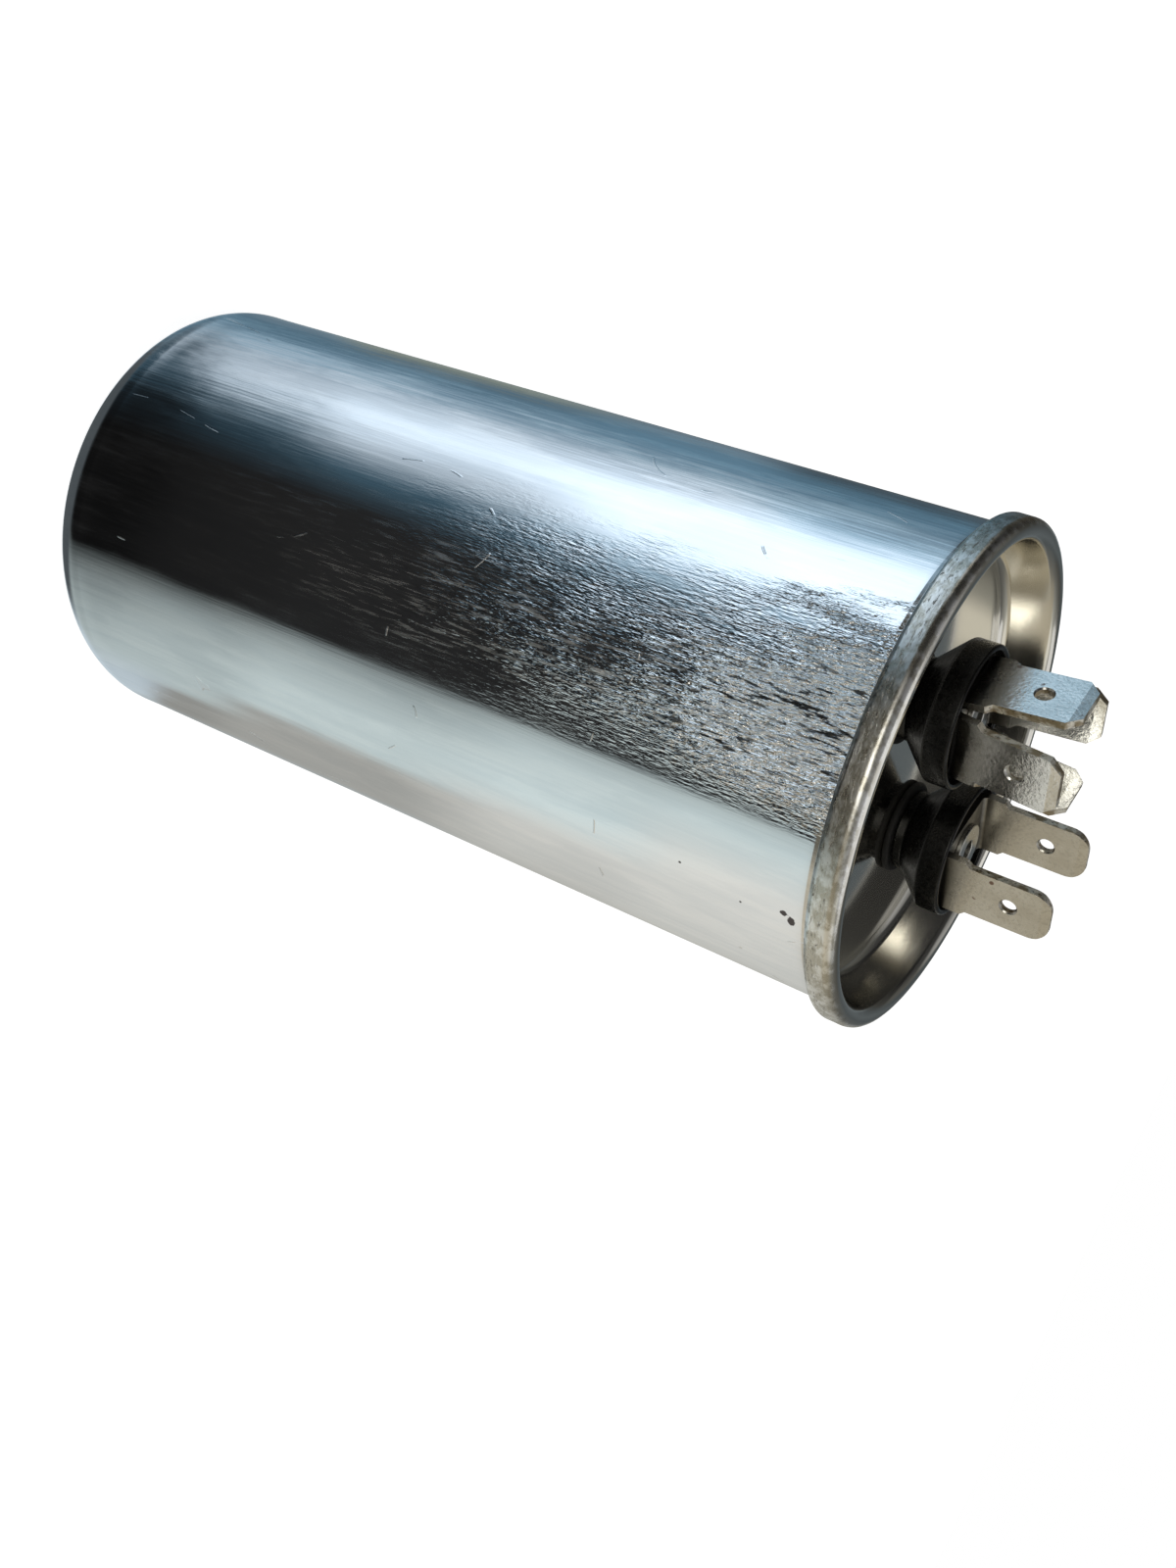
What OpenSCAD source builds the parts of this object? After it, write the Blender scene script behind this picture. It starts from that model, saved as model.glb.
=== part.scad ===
// Motor run capacitor in a round aluminium can.
//
// The can stands on its closed end, at z = 0. A dished tinplate lid is rolled on
// to its open end in a double seam, and carries two riveted terminals: one with
// four push-on blades, one with two. A wound film element stands in the can.
// +Z runs from the closed end to the blades, and +X from the two-blade terminal
// to the four-blade one.

/* [Can] */
// Outside diameter of the can's straight wall
can_d = 50; // [46:0.5:60]
// Height from the closed end to the top of the seam
can_h = 102.2; // [70:0.1:140]
// Wall thickness of the can
can_wall = 0.4; // [0.3:0.05:0.6]
// Thickness of the can's closed end
can_base = 0.6; // [0.4:0.1:1.2]
// Outside radius of the corner at the closed end
can_corner_r = 4.5; // [2:0.5:7]

/* [Lid and seam] */
// Thickness of the lid's sheet
lid_t = 0.35; // [0.25:0.05:0.5]
// Depth of the lid's flat panel below the top of the seam
lid_depth = 5.8; // [4.5:0.1:9]
// Lean of the lid's wall from upright, in degrees
lid_lean = 12; // [4:1:18]
// Inside radius of the bend between the lid's wall and its panel
lid_corner_r = 1.4; // [0.6:0.1:2.4]
// Height of the rolled seam
seam_h = 3.2; // [2.9:0.1:4.2]
// Gap between neighbouring layers of the seam, filled by its sealing compound
seam_gap = 0.12; // [0.06:0.01:0.18]
// Clearance between the lid's wall and the inside of the can
lid_fit = 0.03; // [0.02:0.01:0.06]
// How far the seaming rolls press the can's wall inwards
neck_press = 0.05; // [0.02:0.01:0.1]
// Height over which the can's wall slopes in to the seam
neck_slope = 0.7; // [0.6:0.1:1.2]

/* [Terminals] */
// Distance between the two terminals' axes
terminal_pitch = 19.3; // [17:0.1:21]
// Thickness of the terminals' sheet
blade_t = 0.8; // [0.6:0.1:1]
// Width of a push-on blade
blade_w = 6.3; // [4.8:0.1:6.6]
// Width of the bracket below the blades' shoulders
base_w = 7.4; // [6.8:0.1:7.8]
// Height of the shoulders above the bracket's underside
shoulder_z = 3; // [2.6:0.1:4]
// Inside radius of the bracket's bends
bend_r = 0.45; // [0.3:0.05:0.8]
// Corner cut at a blade's tip
tip_cut = 1.2; // [0.6:0.1:1.8]
// Length of the bevel that thins a blade's tip
tip_bevel = 1; // [0.5:0.1:1.6]
// Depth of that bevel on each face
tip_bevel_t = 0.2; // [0.1:0.02:0.28]
// Diameter of the latching hole in a blade
latch_d = 1.65; // [1.2:0.05:2]
// Width of the countersink round a latching hole
latch_sink = 0.15; // [0.05:0.05:0.25]
// Distance from a blade's tip to its latching hole
latch_from_tip = 4.3; // [3.4:0.1:5]
// Four-blade bracket: terminal's axis to the outside of a blade, at the bend
four_span = 4.8; // [4.7:0.05:5.1]
// Four-blade bracket: height from its underside to the blades' tips
four_rise = 11.3; // [9.5:0.1:13]
// Four-blade bracket: outward lean of the blades, in degrees
four_lean = 6; // [0:1:8]
// Two-blade bracket: terminal's axis to the outside of a blade, at the bend
two_span = 5.2; // [4.7:0.05:5.3]
// Two-blade bracket: height from its underside to the blades' tips
two_rise = 12.1; // [9.5:0.1:13]
// Two-blade bracket: outward lean of the blades, in degrees
two_lean = 0; // [0:1:4]
// Turn of both brackets away from the line through the terminals, in degrees
bracket_turn = -5; // [-10:1:10]

/* [Insulators] */
// Clearance round a bracket inside its insulator's recess
recess_gap = 0.2; // [0.1:0.05:0.4]
// Depth of the recess
recess_depth = 1.2; // [0.9:0.1:1.8]
// Thickness of the lip round the recess
lip_w = 0.6; // [0.4:0.1:1]
// Height of the insulator's upright edge
edge_h = 2.5; // [2:0.1:3.5]
// Height of the cone below that edge
cone_h = 3; // [2:0.1:4]
// Radius of the neck below the cone
neck_r = 4.2; // [3.8:0.1:4.6]
// Height of the neck
neck_h = 1; // [0.5:0.1:2]
// Radius of the spigot that goes through the lid
spigot_r = 2.9; // [2.5:0.1:3.2]
// Length of the spigot below the gasket
spigot_l = 2.2; // [1.8:0.1:2.6]
// Clearance round the spigot
spigot_gap = 0.1; // [0.05:0.05:0.2]
// Thickness of the rubber gasket under the insulator
gasket_t = 0.8; // [0.5:0.1:1.2]
// Outside radius of that gasket
gasket_r = 4.9; // [4.6:0.1:5.5]
// Outside radius of the insulating washer under the lid
washer_r = 7; // [5.5:0.1:7.6]
// Thickness of that washer
washer_t = 2.6; // [2.4:0.1:3.4]

/* [Rivets and lugs] */
// Outside radius of the hollow rivet's shank
rivet_r = 1.6; // [1.4:0.05:1.8]
// Radius of the rivet's bore
rivet_bore_r = 1.1; // [0.7:0.05:1.2]
// Radius of the rivet's head and of its rolled end
rivet_head_r = 2.8; // [2.4:0.1:3]
// Thickness of the rivet's head and of its rolled end
rivet_head_t = 0.5; // [0.3:0.05:0.7]
// Clearance round the rivet's shank
rivet_gap = 0.05; // [0.03:0.01:0.1]
// Thickness of the soldering lug's plate
lug_t = 0.5; // [0.4:0.05:0.7]
// Radius of the lug's ring
lug_r = 3.6; // [3.2:0.1:4]
// Wall of the barrel that holds the lead
barrel_wall = 0.4; // [0.3:0.05:0.5]
// Length of that barrel
barrel_l = 2.4; // [2:0.1:2.6]

/* [Leads] */
// Radius of a lead over its insulation
lead_r = 1; // [0.8:0.05:1.2]
// Radius of a lead's bare strands
strand_r = 0.6; // [0.4:0.05:0.7]
// Clearance round the strands in the lug's barrel
strand_gap = 0.05; // [0.03:0.01:0.1]
// Bare length between a barrel and the lead's insulation
bare_l = 0.45; // [0.2:0.05:0.8]
// Middle radius of a lead's bends
lead_bend_r = 3; // [2.6:0.1:3.4]
// Clearance between a lead and what it passes
lead_gap = 0.2; // [0.1:0.05:0.3]
// Length of the top lead's straight run below its bend
lead_drop = 0.8; // [0.5:0.1:4]
// Length of the top lead's bare end, which stands on the winding
top_bare_l = 2; // [1.6:0.1:2.6]
// Length of the bottom lead's bare end, which lies under the winding
bottom_bare_l = 4; // [3.8:0.1:6]
// Radius of a solder joint where it meets the sprayed metal
solder_r = 1.8; // [1.5:0.1:2.2]
// Radius of a solder joint at its far end
solder_tip_r = 1.3; // [0.9:0.1:1.5]
// Height of the top lead's solder joint
solder_h = 1.5; // [1.2:0.1:1.8]
// Thickness of the solder under the bottom lead's strands
solder_skin = 0.3; // [0.15:0.05:0.3]

/* [Wound element] */
// Radius of the core tube's bore
core_bore_r = 3.5; // [3:0.1:4]
// Wall of the core tube
core_wall = 1.5; // [1:0.1:2]
// Thickness of the sprayed metal on each end of the winding
spray_t = 0.6; // [0.4:0.1:1]
// Thickness of the film wrapped round the winding
wrap_t = 0.5; // [0.3:0.1:0.8]
// Thickness of the end caps' floors
cap_floor = 1.2; // [0.8:0.1:1.8]
// Thickness of the end caps' skirts
skirt_t = 1; // [0.7:0.1:1.3]
// Height of the end caps' skirts beside the winding
skirt_h = 6; // [4:0.5:12]
// Clearance between the winding and a skirt
skirt_gap = 0.2; // [0.1:0.05:0.4]
// Thickness of the ribs that carry the winding
rib_t = 1.4; // [1:0.1:2]
// Width of the gap in the inner rib for the lead
rib_gate = 2.8; // [2.6:0.1:3.4]
// Clearance between the top cap's ring and the lid
ring_gap = 0.25; // [0.1:0.05:0.5]
// Clearance between the ring and the washers
ring_clear = 1.8; // [1:0.1:2.2]
// Thickness of the liner inside the can
liner_t = 0.4; // [0.2:0.1:0.6]
// Clearance on each face of the liner
liner_gap = 0.05; // [0.05:0.05:0.15]
// Free height between the liner and the lid
liner_space = 2.3; // [1:0.1:6]

/* [Hidden] */
$fn = 96;
slack = 1;                  // how far a cutting tool runs past the face it cuts
turn_step = 60;             // largest step between the corners of a wedge
arc_step = 12;              // largest step between the points of an arc in a sheet's section

// Radii through the seam, from the inside of the lid's wall outwards
can_r = can_d / 2;
can_in_r = can_r - can_wall;
can_neck_in_r = can_in_r - neck_press;
lid_in_r = can_neck_in_r - lid_fit - lid_t;
cover_hook_r = can_neck_in_r + can_wall + seam_gap;
body_hook_r = cover_hook_r + lid_t + seam_gap;
panel_in_r = body_hook_r + can_wall + seam_gap;
seam_r = panel_in_r + lid_t;

// Rolled edges: centre and outside radius of the crest, the foot and the can's own curl
crest_r = (seam_r - lid_in_r) / 2;
crest_x = seam_r - crest_r;
crest_z = can_h - crest_r;
foot_r = (seam_r - cover_hook_r) / 2;
foot_x = seam_r - foot_r;
seam_z = can_h - seam_h;
foot_z = seam_z + foot_r;
neck_z = seam_z - neck_slope;
curl_r = (body_hook_r + can_wall - can_neck_in_r) / 2;
curl_x = can_neck_in_r + curl_r;

// Lid: its panel, and the straight of its wall between the two bends
panel_z = can_h - lid_depth;
under_lid_z = panel_z - lid_t;
lid_bend_z = panel_z + lid_corner_r;
lid_wall_l = (crest_z - lid_bend_z + (crest_r + lid_corner_r) * sin(lid_lean)) / cos(lid_lean);
lid_bend_x = crest_x - (crest_r + lid_corner_r) * cos(lid_lean) - lid_wall_l * sin(lid_lean);
lid_bends = [
    [lid_bend_x, lid_bend_z, lid_corner_r, lid_corner_r + lid_t, 270, 360 - lid_lean],
    [crest_x, crest_z, crest_r, crest_r - lid_t, 180 - lid_lean, 0],
    [foot_x, foot_z, foot_r, foot_r - lid_t, 0, -180]
];
lid_hole_r = spigot_r + spigot_gap;

// Terminals: heights from the lid's panel upwards
four_x = terminal_pitch / 2;
two_x = -terminal_pitch / 2;
bush_foot_z = panel_z + gasket_t;
cone_z = bush_foot_z + neck_h;
edge_z = cone_z + cone_h;
bush_top_z = edge_z + edge_h;
bracket_z = bush_top_z - recess_depth;
recess_r = norm([max(four_span, two_span), base_w / 2]) + recess_gap;
bush_r = recess_r + lip_w;
lip_r = lip_w / 2;
lip_z = bush_top_z - lip_r;
shank_hole_r = rivet_r + rivet_gap;

// Terminals: heights from the lid downwards
spigot_z = bush_foot_z - gasket_t - spigot_l;
washer_z = under_lid_z - washer_t;
lug_z = washer_z - lug_t;
rivet_end_z = lug_z - rivet_head_t;
barrel_bore_r = strand_r + strand_gap;
barrel_r = barrel_bore_r + barrel_wall;
barrel_z = washer_z - barrel_r;
barrel_end = four_x - lead_bend_r - bare_l;

// Wound element: radii, from the can inwards
liner_r = can_in_r - liner_gap;
skirt_r = liner_r - liner_t - liner_gap;
skirt_in_r = skirt_r - skirt_t;
wrap_r = skirt_in_r - skirt_gap;
winding_r = wrap_r - wrap_t;
core_r = core_bore_r + core_wall;
can_inner_corner_r = can_corner_r - can_base;
cap_foot_r = can_in_r - can_inner_corner_r;
ring_r = four_x + washer_r + ring_clear;
lead_hole_r = lead_r + 2 * lead_gap;

// Wound element: heights from the can's closed end upwards
cap_floor_z = can_base + cap_floor;
cap_shoulder_z = can_base + skirt_r - cap_foot_r;
lead_low_z = cap_floor_z + lead_gap + lead_r;
stand_z = max(lead_low_z + lead_r + lead_gap, cap_shoulder_z);
winding_z = stand_z + spray_t;
top_z = barrel_z - lead_bend_r - lead_drop - top_bare_l;
winding_top_z = top_z - spray_t;
liner_z = can_base + can_inner_corner_r;
liner_top_z = under_lid_z - liner_space;
bare_x = core_r + rib_t + lead_bend_r;

// ---- Shapes that repeat ----

// Points along an arc, from one angle to another
function arc(x, y, r, from, to) = let (steps = ceil(abs(to - from) / arc_step))
    [for (i = [0 : steps]) let (a = from + (to - from) * i / steps)
        [x + r * cos(a), y + r * sin(a)]];

// One face of a bent sheet. Each bend is [x, y, radius of face 0, radius of face 1, from, to].
function sheet_face(bends, face) = [for (b = bends) each arc(b[0], b[1], b[2 + face], b[4], b[5])];

function turned_round(points) = [for (i = [len(points) - 1 : -1 : 0]) points[i]];

// Wedge that keeps a ring between two angles no more than 180 degrees apart
module wedge(reach, from, to) {
    steps = ceil((to - from) / turn_step);
    polygon(concat([[0, 0]], [for (i = [0 : steps])
        let (a = from + (to - from) * i / steps) 2 * reach * [cos(a), sin(a)]]));
}

// Part of a ring in the plane of a profile: a bend in sheet of thickness t
module bend(x, y, r_in, t, from, to) {
    translate([x, y]) intersection() {
        difference() {
            circle(r = r_in + t);
            circle(r = r_in);
        }
        wedge(r_in + t, from, to);
    }
}

// Flat ring from z upwards
module ring(r_in, r_out, z, h) {
    translate([0, 0, z]) difference() {
        cylinder(r = r_out, h = h);
        translate([0, 0, -slack]) cylinder(r = r_in, h = h + 2 * slack);
    }
}

// Half section of a pot, from the axis out to r, with its lower corner rounded
module pot_section(r, z_low, z_high, corner) {
    translate([0, z_low]) square([r - corner, z_high - z_low]);
    translate([0, z_low + corner]) square([r, z_high - z_low - corner]);
    translate([r - corner, z_low + corner]) circle(r = corner);
}

// ---- Can, lid and their double seam ----

// The can's rim turns outwards and down, to hook over the lid's edge. Its wall slopes
// in below the seam and stays pressed inwards all the way up it.
module can() {
    color("#c3c8ce") rotate_extrude() {
        difference() {
            pot_section(can_r, 0, neck_z, can_corner_r);
            pot_section(can_in_r, can_base, neck_z + slack, can_inner_corner_r);
        }
        polygon([
            [can_in_r, neck_z],
            [can_r, neck_z],
            [can_neck_in_r + can_wall, seam_z],
            [can_neck_in_r, seam_z]
        ]);
        translate([can_neck_in_r, seam_z]) square([can_wall, crest_z - seam_z]);
        bend(curl_x, crest_z, curl_r - can_wall, can_wall, 0, 180);
        translate([body_hook_r, foot_z]) square([can_wall, crest_z - foot_z]);
    }
}

// Half section of the lid: panel, wall, crest, outer panel, foot and hook
module lid_section() {
    polygon(concat(
        [[0, panel_z]],
        sheet_face(lid_bends, 0),
        [[cover_hook_r, crest_z], [cover_hook_r + lid_t, crest_z]],
        turned_round(sheet_face(lid_bends, 1)),
        [[0, under_lid_z]]
    ));
}

module lid() {
    color("#cdc7b8") difference() {
        rotate_extrude() lid_section();
        for (x = [four_x, two_x])
            translate([x, 0, under_lid_z - slack]) cylinder(r = lid_hole_r, h = lid_t + 2 * slack);
    }
}

// Sealing compound between the can's hook and the lid's outer panel
module seam_compound() {
    hook_out_r = body_hook_r + can_wall;
    color("#4c5650") rotate_extrude() difference() {
        polygon(concat(
            [[hook_out_r, foot_z], [panel_in_r, foot_z]],
            turned_round(arc(crest_x, crest_z, crest_r - lid_t, 180 - lid_lean, 0))
        ));
        translate([0, foot_z]) square([hook_out_r, crest_z - foot_z]);
        translate([0, crest_z]) square([curl_x, crest_r]);
        translate([curl_x, crest_z]) circle(r = curl_r);
    }
}

// ---- Terminals ----

// One bent arm of a bracket, reaching along +X and then up. Its underside is at z = 0.
module arm(span, rise, lean) {
    web_l = span - bend_r - blade_t;
    bend_z = blade_t + bend_r;
    leg_l = (rise - bend_z + bend_r * sin(lean)) / cos(lean);
    shoulder_l = (shoulder_z - bend_z) / cos(lean);
    difference() {
        translate([0, base_w / 2, 0]) rotate([90, 0, 0])
            linear_extrude(height = base_w) arm_section(web_l, bend_z, leg_l, lean);
        translate([web_l, 0, bend_z]) rotate([0, lean, 0]) {
            for (side = [0, 1]) mirror([0, side, 0]) edge_cutter(leg_l, shoulder_l);
            translate([bend_r, 0, leg_l - latch_from_tip]) latch_cutter();
        }
    }
}

// Section of an arm: web, bend, and a leaning leg that a bevel on each face thins at its tip
module arm_section(web_l, bend_z, leg_l, lean) {
    bends = [[web_l, bend_z, bend_r, bend_r + blade_t, 270, 360 - lean]];
    tip = [
        [bend_r, leg_l - tip_bevel],
        [bend_r + tip_bevel_t, leg_l],
        [bend_r + blade_t - tip_bevel_t, leg_l],
        [bend_r + blade_t, leg_l - tip_bevel]
    ];
    polygon(concat(
        [[0, blade_t]],
        sheet_face(bends, 0),
        [for (p = tip) [
            web_l + p[0] * cos(lean) + p[1] * sin(lean),
            bend_z - p[0] * sin(lean) + p[1] * cos(lean)
        ]],
        turned_round(sheet_face(bends, 1)),
        [[0, 0]]
    ));
}

// Takes one edge of a leg back to the blade's width above its shoulder, and cuts the tip's corner
module edge_cutter(leg_l, shoulder_l) {
    shoulder = (base_w - blade_w) / 2;
    beyond = base_w / 2 + slack;
    translate([bend_r - slack, 0, 0]) rotate([90, 0, 90])
        linear_extrude(height = blade_t + 2 * slack) polygon([
            [beyond, shoulder_l],
            [base_w / 2, shoulder_l],
            [blade_w / 2, shoulder_l + shoulder],
            [blade_w / 2, leg_l - tip_cut],
            [blade_w / 2 - tip_cut, leg_l],
            [blade_w / 2 - tip_cut, leg_l + slack],
            [beyond, leg_l + slack]
        ]);
}

// Latching hole through a leg, countersunk on both faces
module latch_cutter() {
    rim_r = latch_d / 2;
    rotate([0, 90, 0]) {
        translate([0, 0, -slack]) cylinder(r = rim_r, h = blade_t + 2 * slack);
        translate([0, 0, -latch_sink])
            cylinder(r1 = rim_r + 2 * latch_sink, r2 = rim_r, h = 2 * latch_sink);
        translate([0, 0, blade_t - latch_sink])
            cylinder(r1 = rim_r, r2 = rim_r + 2 * latch_sink, h = 2 * latch_sink);
    }
}

// A folded bracket with one arm at each of the given angles and a rivet hole in its web
module bracket(angles, span, rise, lean) {
    difference() {
        union() {
            for (a = angles) rotate([0, 0, a]) arm(span, rise, lean);
            translate([-base_w / 2, -base_w / 2, 0]) cube([base_w, base_w, blade_t]);
        }
        translate([0, 0, -slack]) cylinder(r = shank_hole_r, h = blade_t + 2 * slack);
    }
}

module four_blade_terminal() {
    color("#d5d2c8") translate([four_x, 0, bracket_z]) rotate([0, 0, bracket_turn])
        bracket([0, 90, 180, 270], four_span, four_rise, four_lean);
}

module two_blade_terminal() {
    color("#d5d2c8") translate([two_x, 0, bracket_z]) rotate([0, 0, bracket_turn])
        bracket([90, 270], two_span, two_rise, two_lean);
}

// Moulded insulator: a recessed disc on a cone, with a spigot through the lid
module insulator(x) {
    color("#1d1b19") translate([x, 0, 0]) rotate_extrude() {
        polygon([
            [shank_hole_r, spigot_z],
            [spigot_r, spigot_z],
            [spigot_r, bush_foot_z],
            [neck_r, bush_foot_z],
            [neck_r, cone_z],
            [bush_r, edge_z],
            [bush_r, lip_z],
            [recess_r, lip_z],
            [recess_r, bracket_z],
            [shank_hole_r, bracket_z]
        ]);
        translate([bush_r - lip_r, lip_z]) circle(r = lip_r);
    }
}

// Rubber gasket with a rounded outer edge
module gasket(x) {
    edge_r = gasket_t / 2;
    color("#262626") translate([x, 0, panel_z]) rotate_extrude() {
        translate([lid_hole_r, 0]) square([gasket_r - edge_r - lid_hole_r, gasket_t]);
        translate([gasket_r - edge_r, edge_r]) circle(r = edge_r);
    }
}

// Hollow rivet from the bracket's web to the soldering lug
module rivet(x) {
    color("#c9c9c4") translate([x, 0, 0]) {
        head_z = bracket_z + blade_t;
        ring(rivet_bore_r, rivet_r, lug_z, head_z - lug_z);
        ring(rivet_bore_r, rivet_head_r, head_z, rivet_head_t);
        ring(rivet_bore_r, rivet_head_r, rivet_end_z, rivet_head_t);
    }
}

// Insulating washer under the lid, counterbored for the spigot
module washer(x) {
    color("#2a2622") translate([x, 0, 0]) difference() {
        translate([0, 0, washer_z]) cylinder(r = washer_r, h = washer_t);
        translate([0, 0, washer_z - slack]) cylinder(r = shank_hole_r, h = washer_t + 2 * slack);
        translate([0, 0, spigot_z - spigot_gap]) cylinder(r = lid_hole_r, h = washer_t);
    }
}

// Soldering lug: a ring with a tongue and a barrel for the lead, reaching along +X
module lug() {
    difference() {
        union() {
            translate([0, 0, lug_z]) cylinder(r = lug_r, h = lug_t);
            translate([0, -barrel_r, lug_z]) cube([barrel_end, 2 * barrel_r, lug_t]);
            translate([barrel_end - barrel_l, 0, barrel_z]) rotate([0, 90, 0])
                cylinder(r = barrel_r, h = barrel_l);
        }
        translate([0, 0, lug_z - slack]) cylinder(r = shank_hole_r, h = lug_t + 2 * slack);
        translate([barrel_end - barrel_l - slack, 0, barrel_z]) rotate([0, 90, 0])
            cylinder(r = barrel_bore_r, h = barrel_l + 2 * slack);
    }
}

module four_blade_lug() {
    color("#cfcabd") translate([four_x, 0, 0]) rotate([0, 0, 90]) lug();
}

module two_blade_lug() {
    color("#cfcabd") translate([two_x, 0, 0]) lug();
}

// ---- Leads ----

// Start of a lead at a lug: bare strands in the barrel, then a bend downwards.
// It lies along +X from the terminal's axis and comes down at the lug's reach.
module lead_start() {
    translate([barrel_end - barrel_l, 0, barrel_z]) rotate([0, 90, 0])
        cylinder(r = strand_r, h = barrel_l + bare_l);
    translate([four_x - lead_bend_r, 0, barrel_z - lead_bend_r]) rotate([90, 0, 0])
        rotate_extrude(angle = 90) translate([lead_bend_r, 0]) circle(r = lead_r);
}

// Lead from the four-blade terminal to the sprayed metal on top of the winding
module top_lead() {
    color("#a03a30") translate([four_x, 0, 0]) rotate([0, 0, 90]) {
        lead_start();
        translate([four_x, 0, top_z + top_bare_l]) cylinder(r = lead_r, h = lead_drop);
        translate([four_x, 0, top_z]) cylinder(r = strand_r, h = top_bare_l);
    }
}

// Lead from the two-blade terminal down the core tube to the bottom of the winding
module bottom_lead() {
    low_bend_z = lead_low_z + lead_bend_r;
    color("#2f4f86") {
        translate([two_x, 0, 0]) lead_start();
        translate([0, 0, low_bend_z])
            cylinder(r = lead_r, h = barrel_z - lead_bend_r - low_bend_z);
        translate([lead_bend_r, 0, low_bend_z]) rotate([90, 0, 0]) rotate([0, 0, 180])
            rotate_extrude(angle = 90) translate([lead_bend_r, 0]) circle(r = lead_r);
        translate([lead_bend_r, 0, lead_low_z]) rotate([0, 90, 0])
            cylinder(r = lead_r, h = bare_x - lead_bend_r);
        translate([bare_x, 0, lead_low_z]) rotate([0, 90, 0])
            cylinder(r = strand_r, h = bottom_bare_l);
    }
}

// Solder that holds the top lead to the sprayed metal: a blob round the strands
module top_solder() {
    color("#b4b6b8") translate([four_x, four_x, top_z]) difference() {
        cylinder(r1 = solder_r, r2 = solder_tip_r, h = solder_h);
        translate([0, 0, -slack]) cylinder(r = strand_r, h = solder_h + 2 * slack);
    }
}

// Solder that holds the bottom lead's strands up against the sprayed metal
module bottom_solder() {
    blob_z = lead_low_z - strand_r - solder_skin;
    color("#b4b6b8") difference() {
        translate([bare_x + bottom_bare_l / 2, 0, blob_z])
            cylinder(r1 = solder_tip_r, r2 = solder_r, h = stand_z - blob_z);
        translate([bare_x, 0, lead_low_z]) rotate([0, 90, 0])
            cylinder(r = strand_r, h = bottom_bare_l);
    }
}

// ---- Wound element ----

// Metallised film wound on the core: all its turns are one solid
module film_winding() {
    color("#c8ccd0") ring(core_r, winding_r, winding_z, winding_top_z - winding_z);
}

module core_tube() {
    color("#e6e2d6") ring(core_bore_r, core_r, stand_z, top_z - stand_z);
}

// Metal sprayed on one end of the winding, where a lead is soldered
module metal_spray(z) {
    color("#8d9196") ring(core_r, winding_r, z, spray_t);
}

module film_wrap() {
    color("#d9cfa4") ring(winding_r, wrap_r, stand_z, top_z - stand_z);
}

// Cap over the top of the winding, with a ring that holds it down from the lid
module top_end_cap() {
    color("#e9e9e4") difference() {
        union() {
            translate([0, 0, top_z]) cylinder(r = skirt_r, h = cap_floor);
            ring(skirt_in_r, skirt_r, top_z - skirt_h, skirt_h);
            ring(ring_r, ring_r + rib_t, top_z, under_lid_z - ring_gap - top_z);
        }
        translate([0, 0, top_z - slack]) cylinder(r = lead_hole_r, h = cap_floor + 2 * slack);
        translate([four_x, four_x, top_z - slack])
            cylinder(r = solder_r + lead_gap, h = cap_floor + 2 * slack);
    }
}

// Cap under the winding: a dish that follows the can's corner, with two round ribs
module bottom_end_cap() {
    skirt_top_z = stand_z + skirt_h;
    color("#e9e9e4") difference() {
        rotate_extrude() {
            difference() {
                polygon([
                    [0, can_base],
                    [cap_foot_r, can_base],
                    [skirt_r, cap_shoulder_z],
                    [skirt_r, skirt_top_z],
                    [0, skirt_top_z]
                ]);
                polygon([
                    [0, cap_floor_z],
                    [cap_foot_r, cap_floor_z],
                    [skirt_in_r, cap_shoulder_z],
                    [skirt_in_r, skirt_top_z + slack],
                    [0, skirt_top_z + slack]
                ]);
            }
            for (r = [core_r, cap_foot_r - rib_t])
                translate([r, can_base]) square([rib_t, stand_z - can_base]);
        }
        translate([0, -rib_gate / 2, cap_floor_z]) cube([core_r + rib_t + slack, rib_gate, stand_z]);
    }
}

// Insulating liner between the wound element and the can
module can_liner() {
    color("#d8dde0") ring(liner_r - liner_t, liner_r, liner_z, liner_top_z - liner_z);
}

can();
lid();
seam_compound();
four_blade_terminal();
two_blade_terminal();
insulator(four_x);  // four_blade_insulator
insulator(two_x);  // two_blade_insulator
gasket(four_x);  // four_blade_gasket
gasket(two_x);  // two_blade_gasket
rivet(four_x);  // four_blade_rivet
rivet(two_x);  // two_blade_rivet
washer(four_x);  // four_blade_washer
washer(two_x);  // two_blade_washer
four_blade_lug();
two_blade_lug();
top_lead();
bottom_lead();
top_solder();
bottom_solder();
film_winding();
core_tube();
metal_spray(winding_top_z);  // top_metal_spray
metal_spray(stand_z);  // bottom_metal_spray
film_wrap();
top_end_cap();
bottom_end_cap();
can_liner();
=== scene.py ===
# %% [markdown]
# # A motor run capacitor
# The capacitor is a drawn aluminium can, closed by a dished tinplate lid that is rolled on
# to it in a double seam. Two black insulators in the lid carry folded blade terminals. This
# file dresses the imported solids: it makes the visible pieces again as finer surfaces, and
# gives every piece the finish of the real one. All lengths are in millimetres up to the
# moment they go into a mesh, because that is how such a part is drawn.

# %% Load the frame
import math

import bmesh
import bpy
import numpy as np
from mathutils import Matrix, Vector


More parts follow.
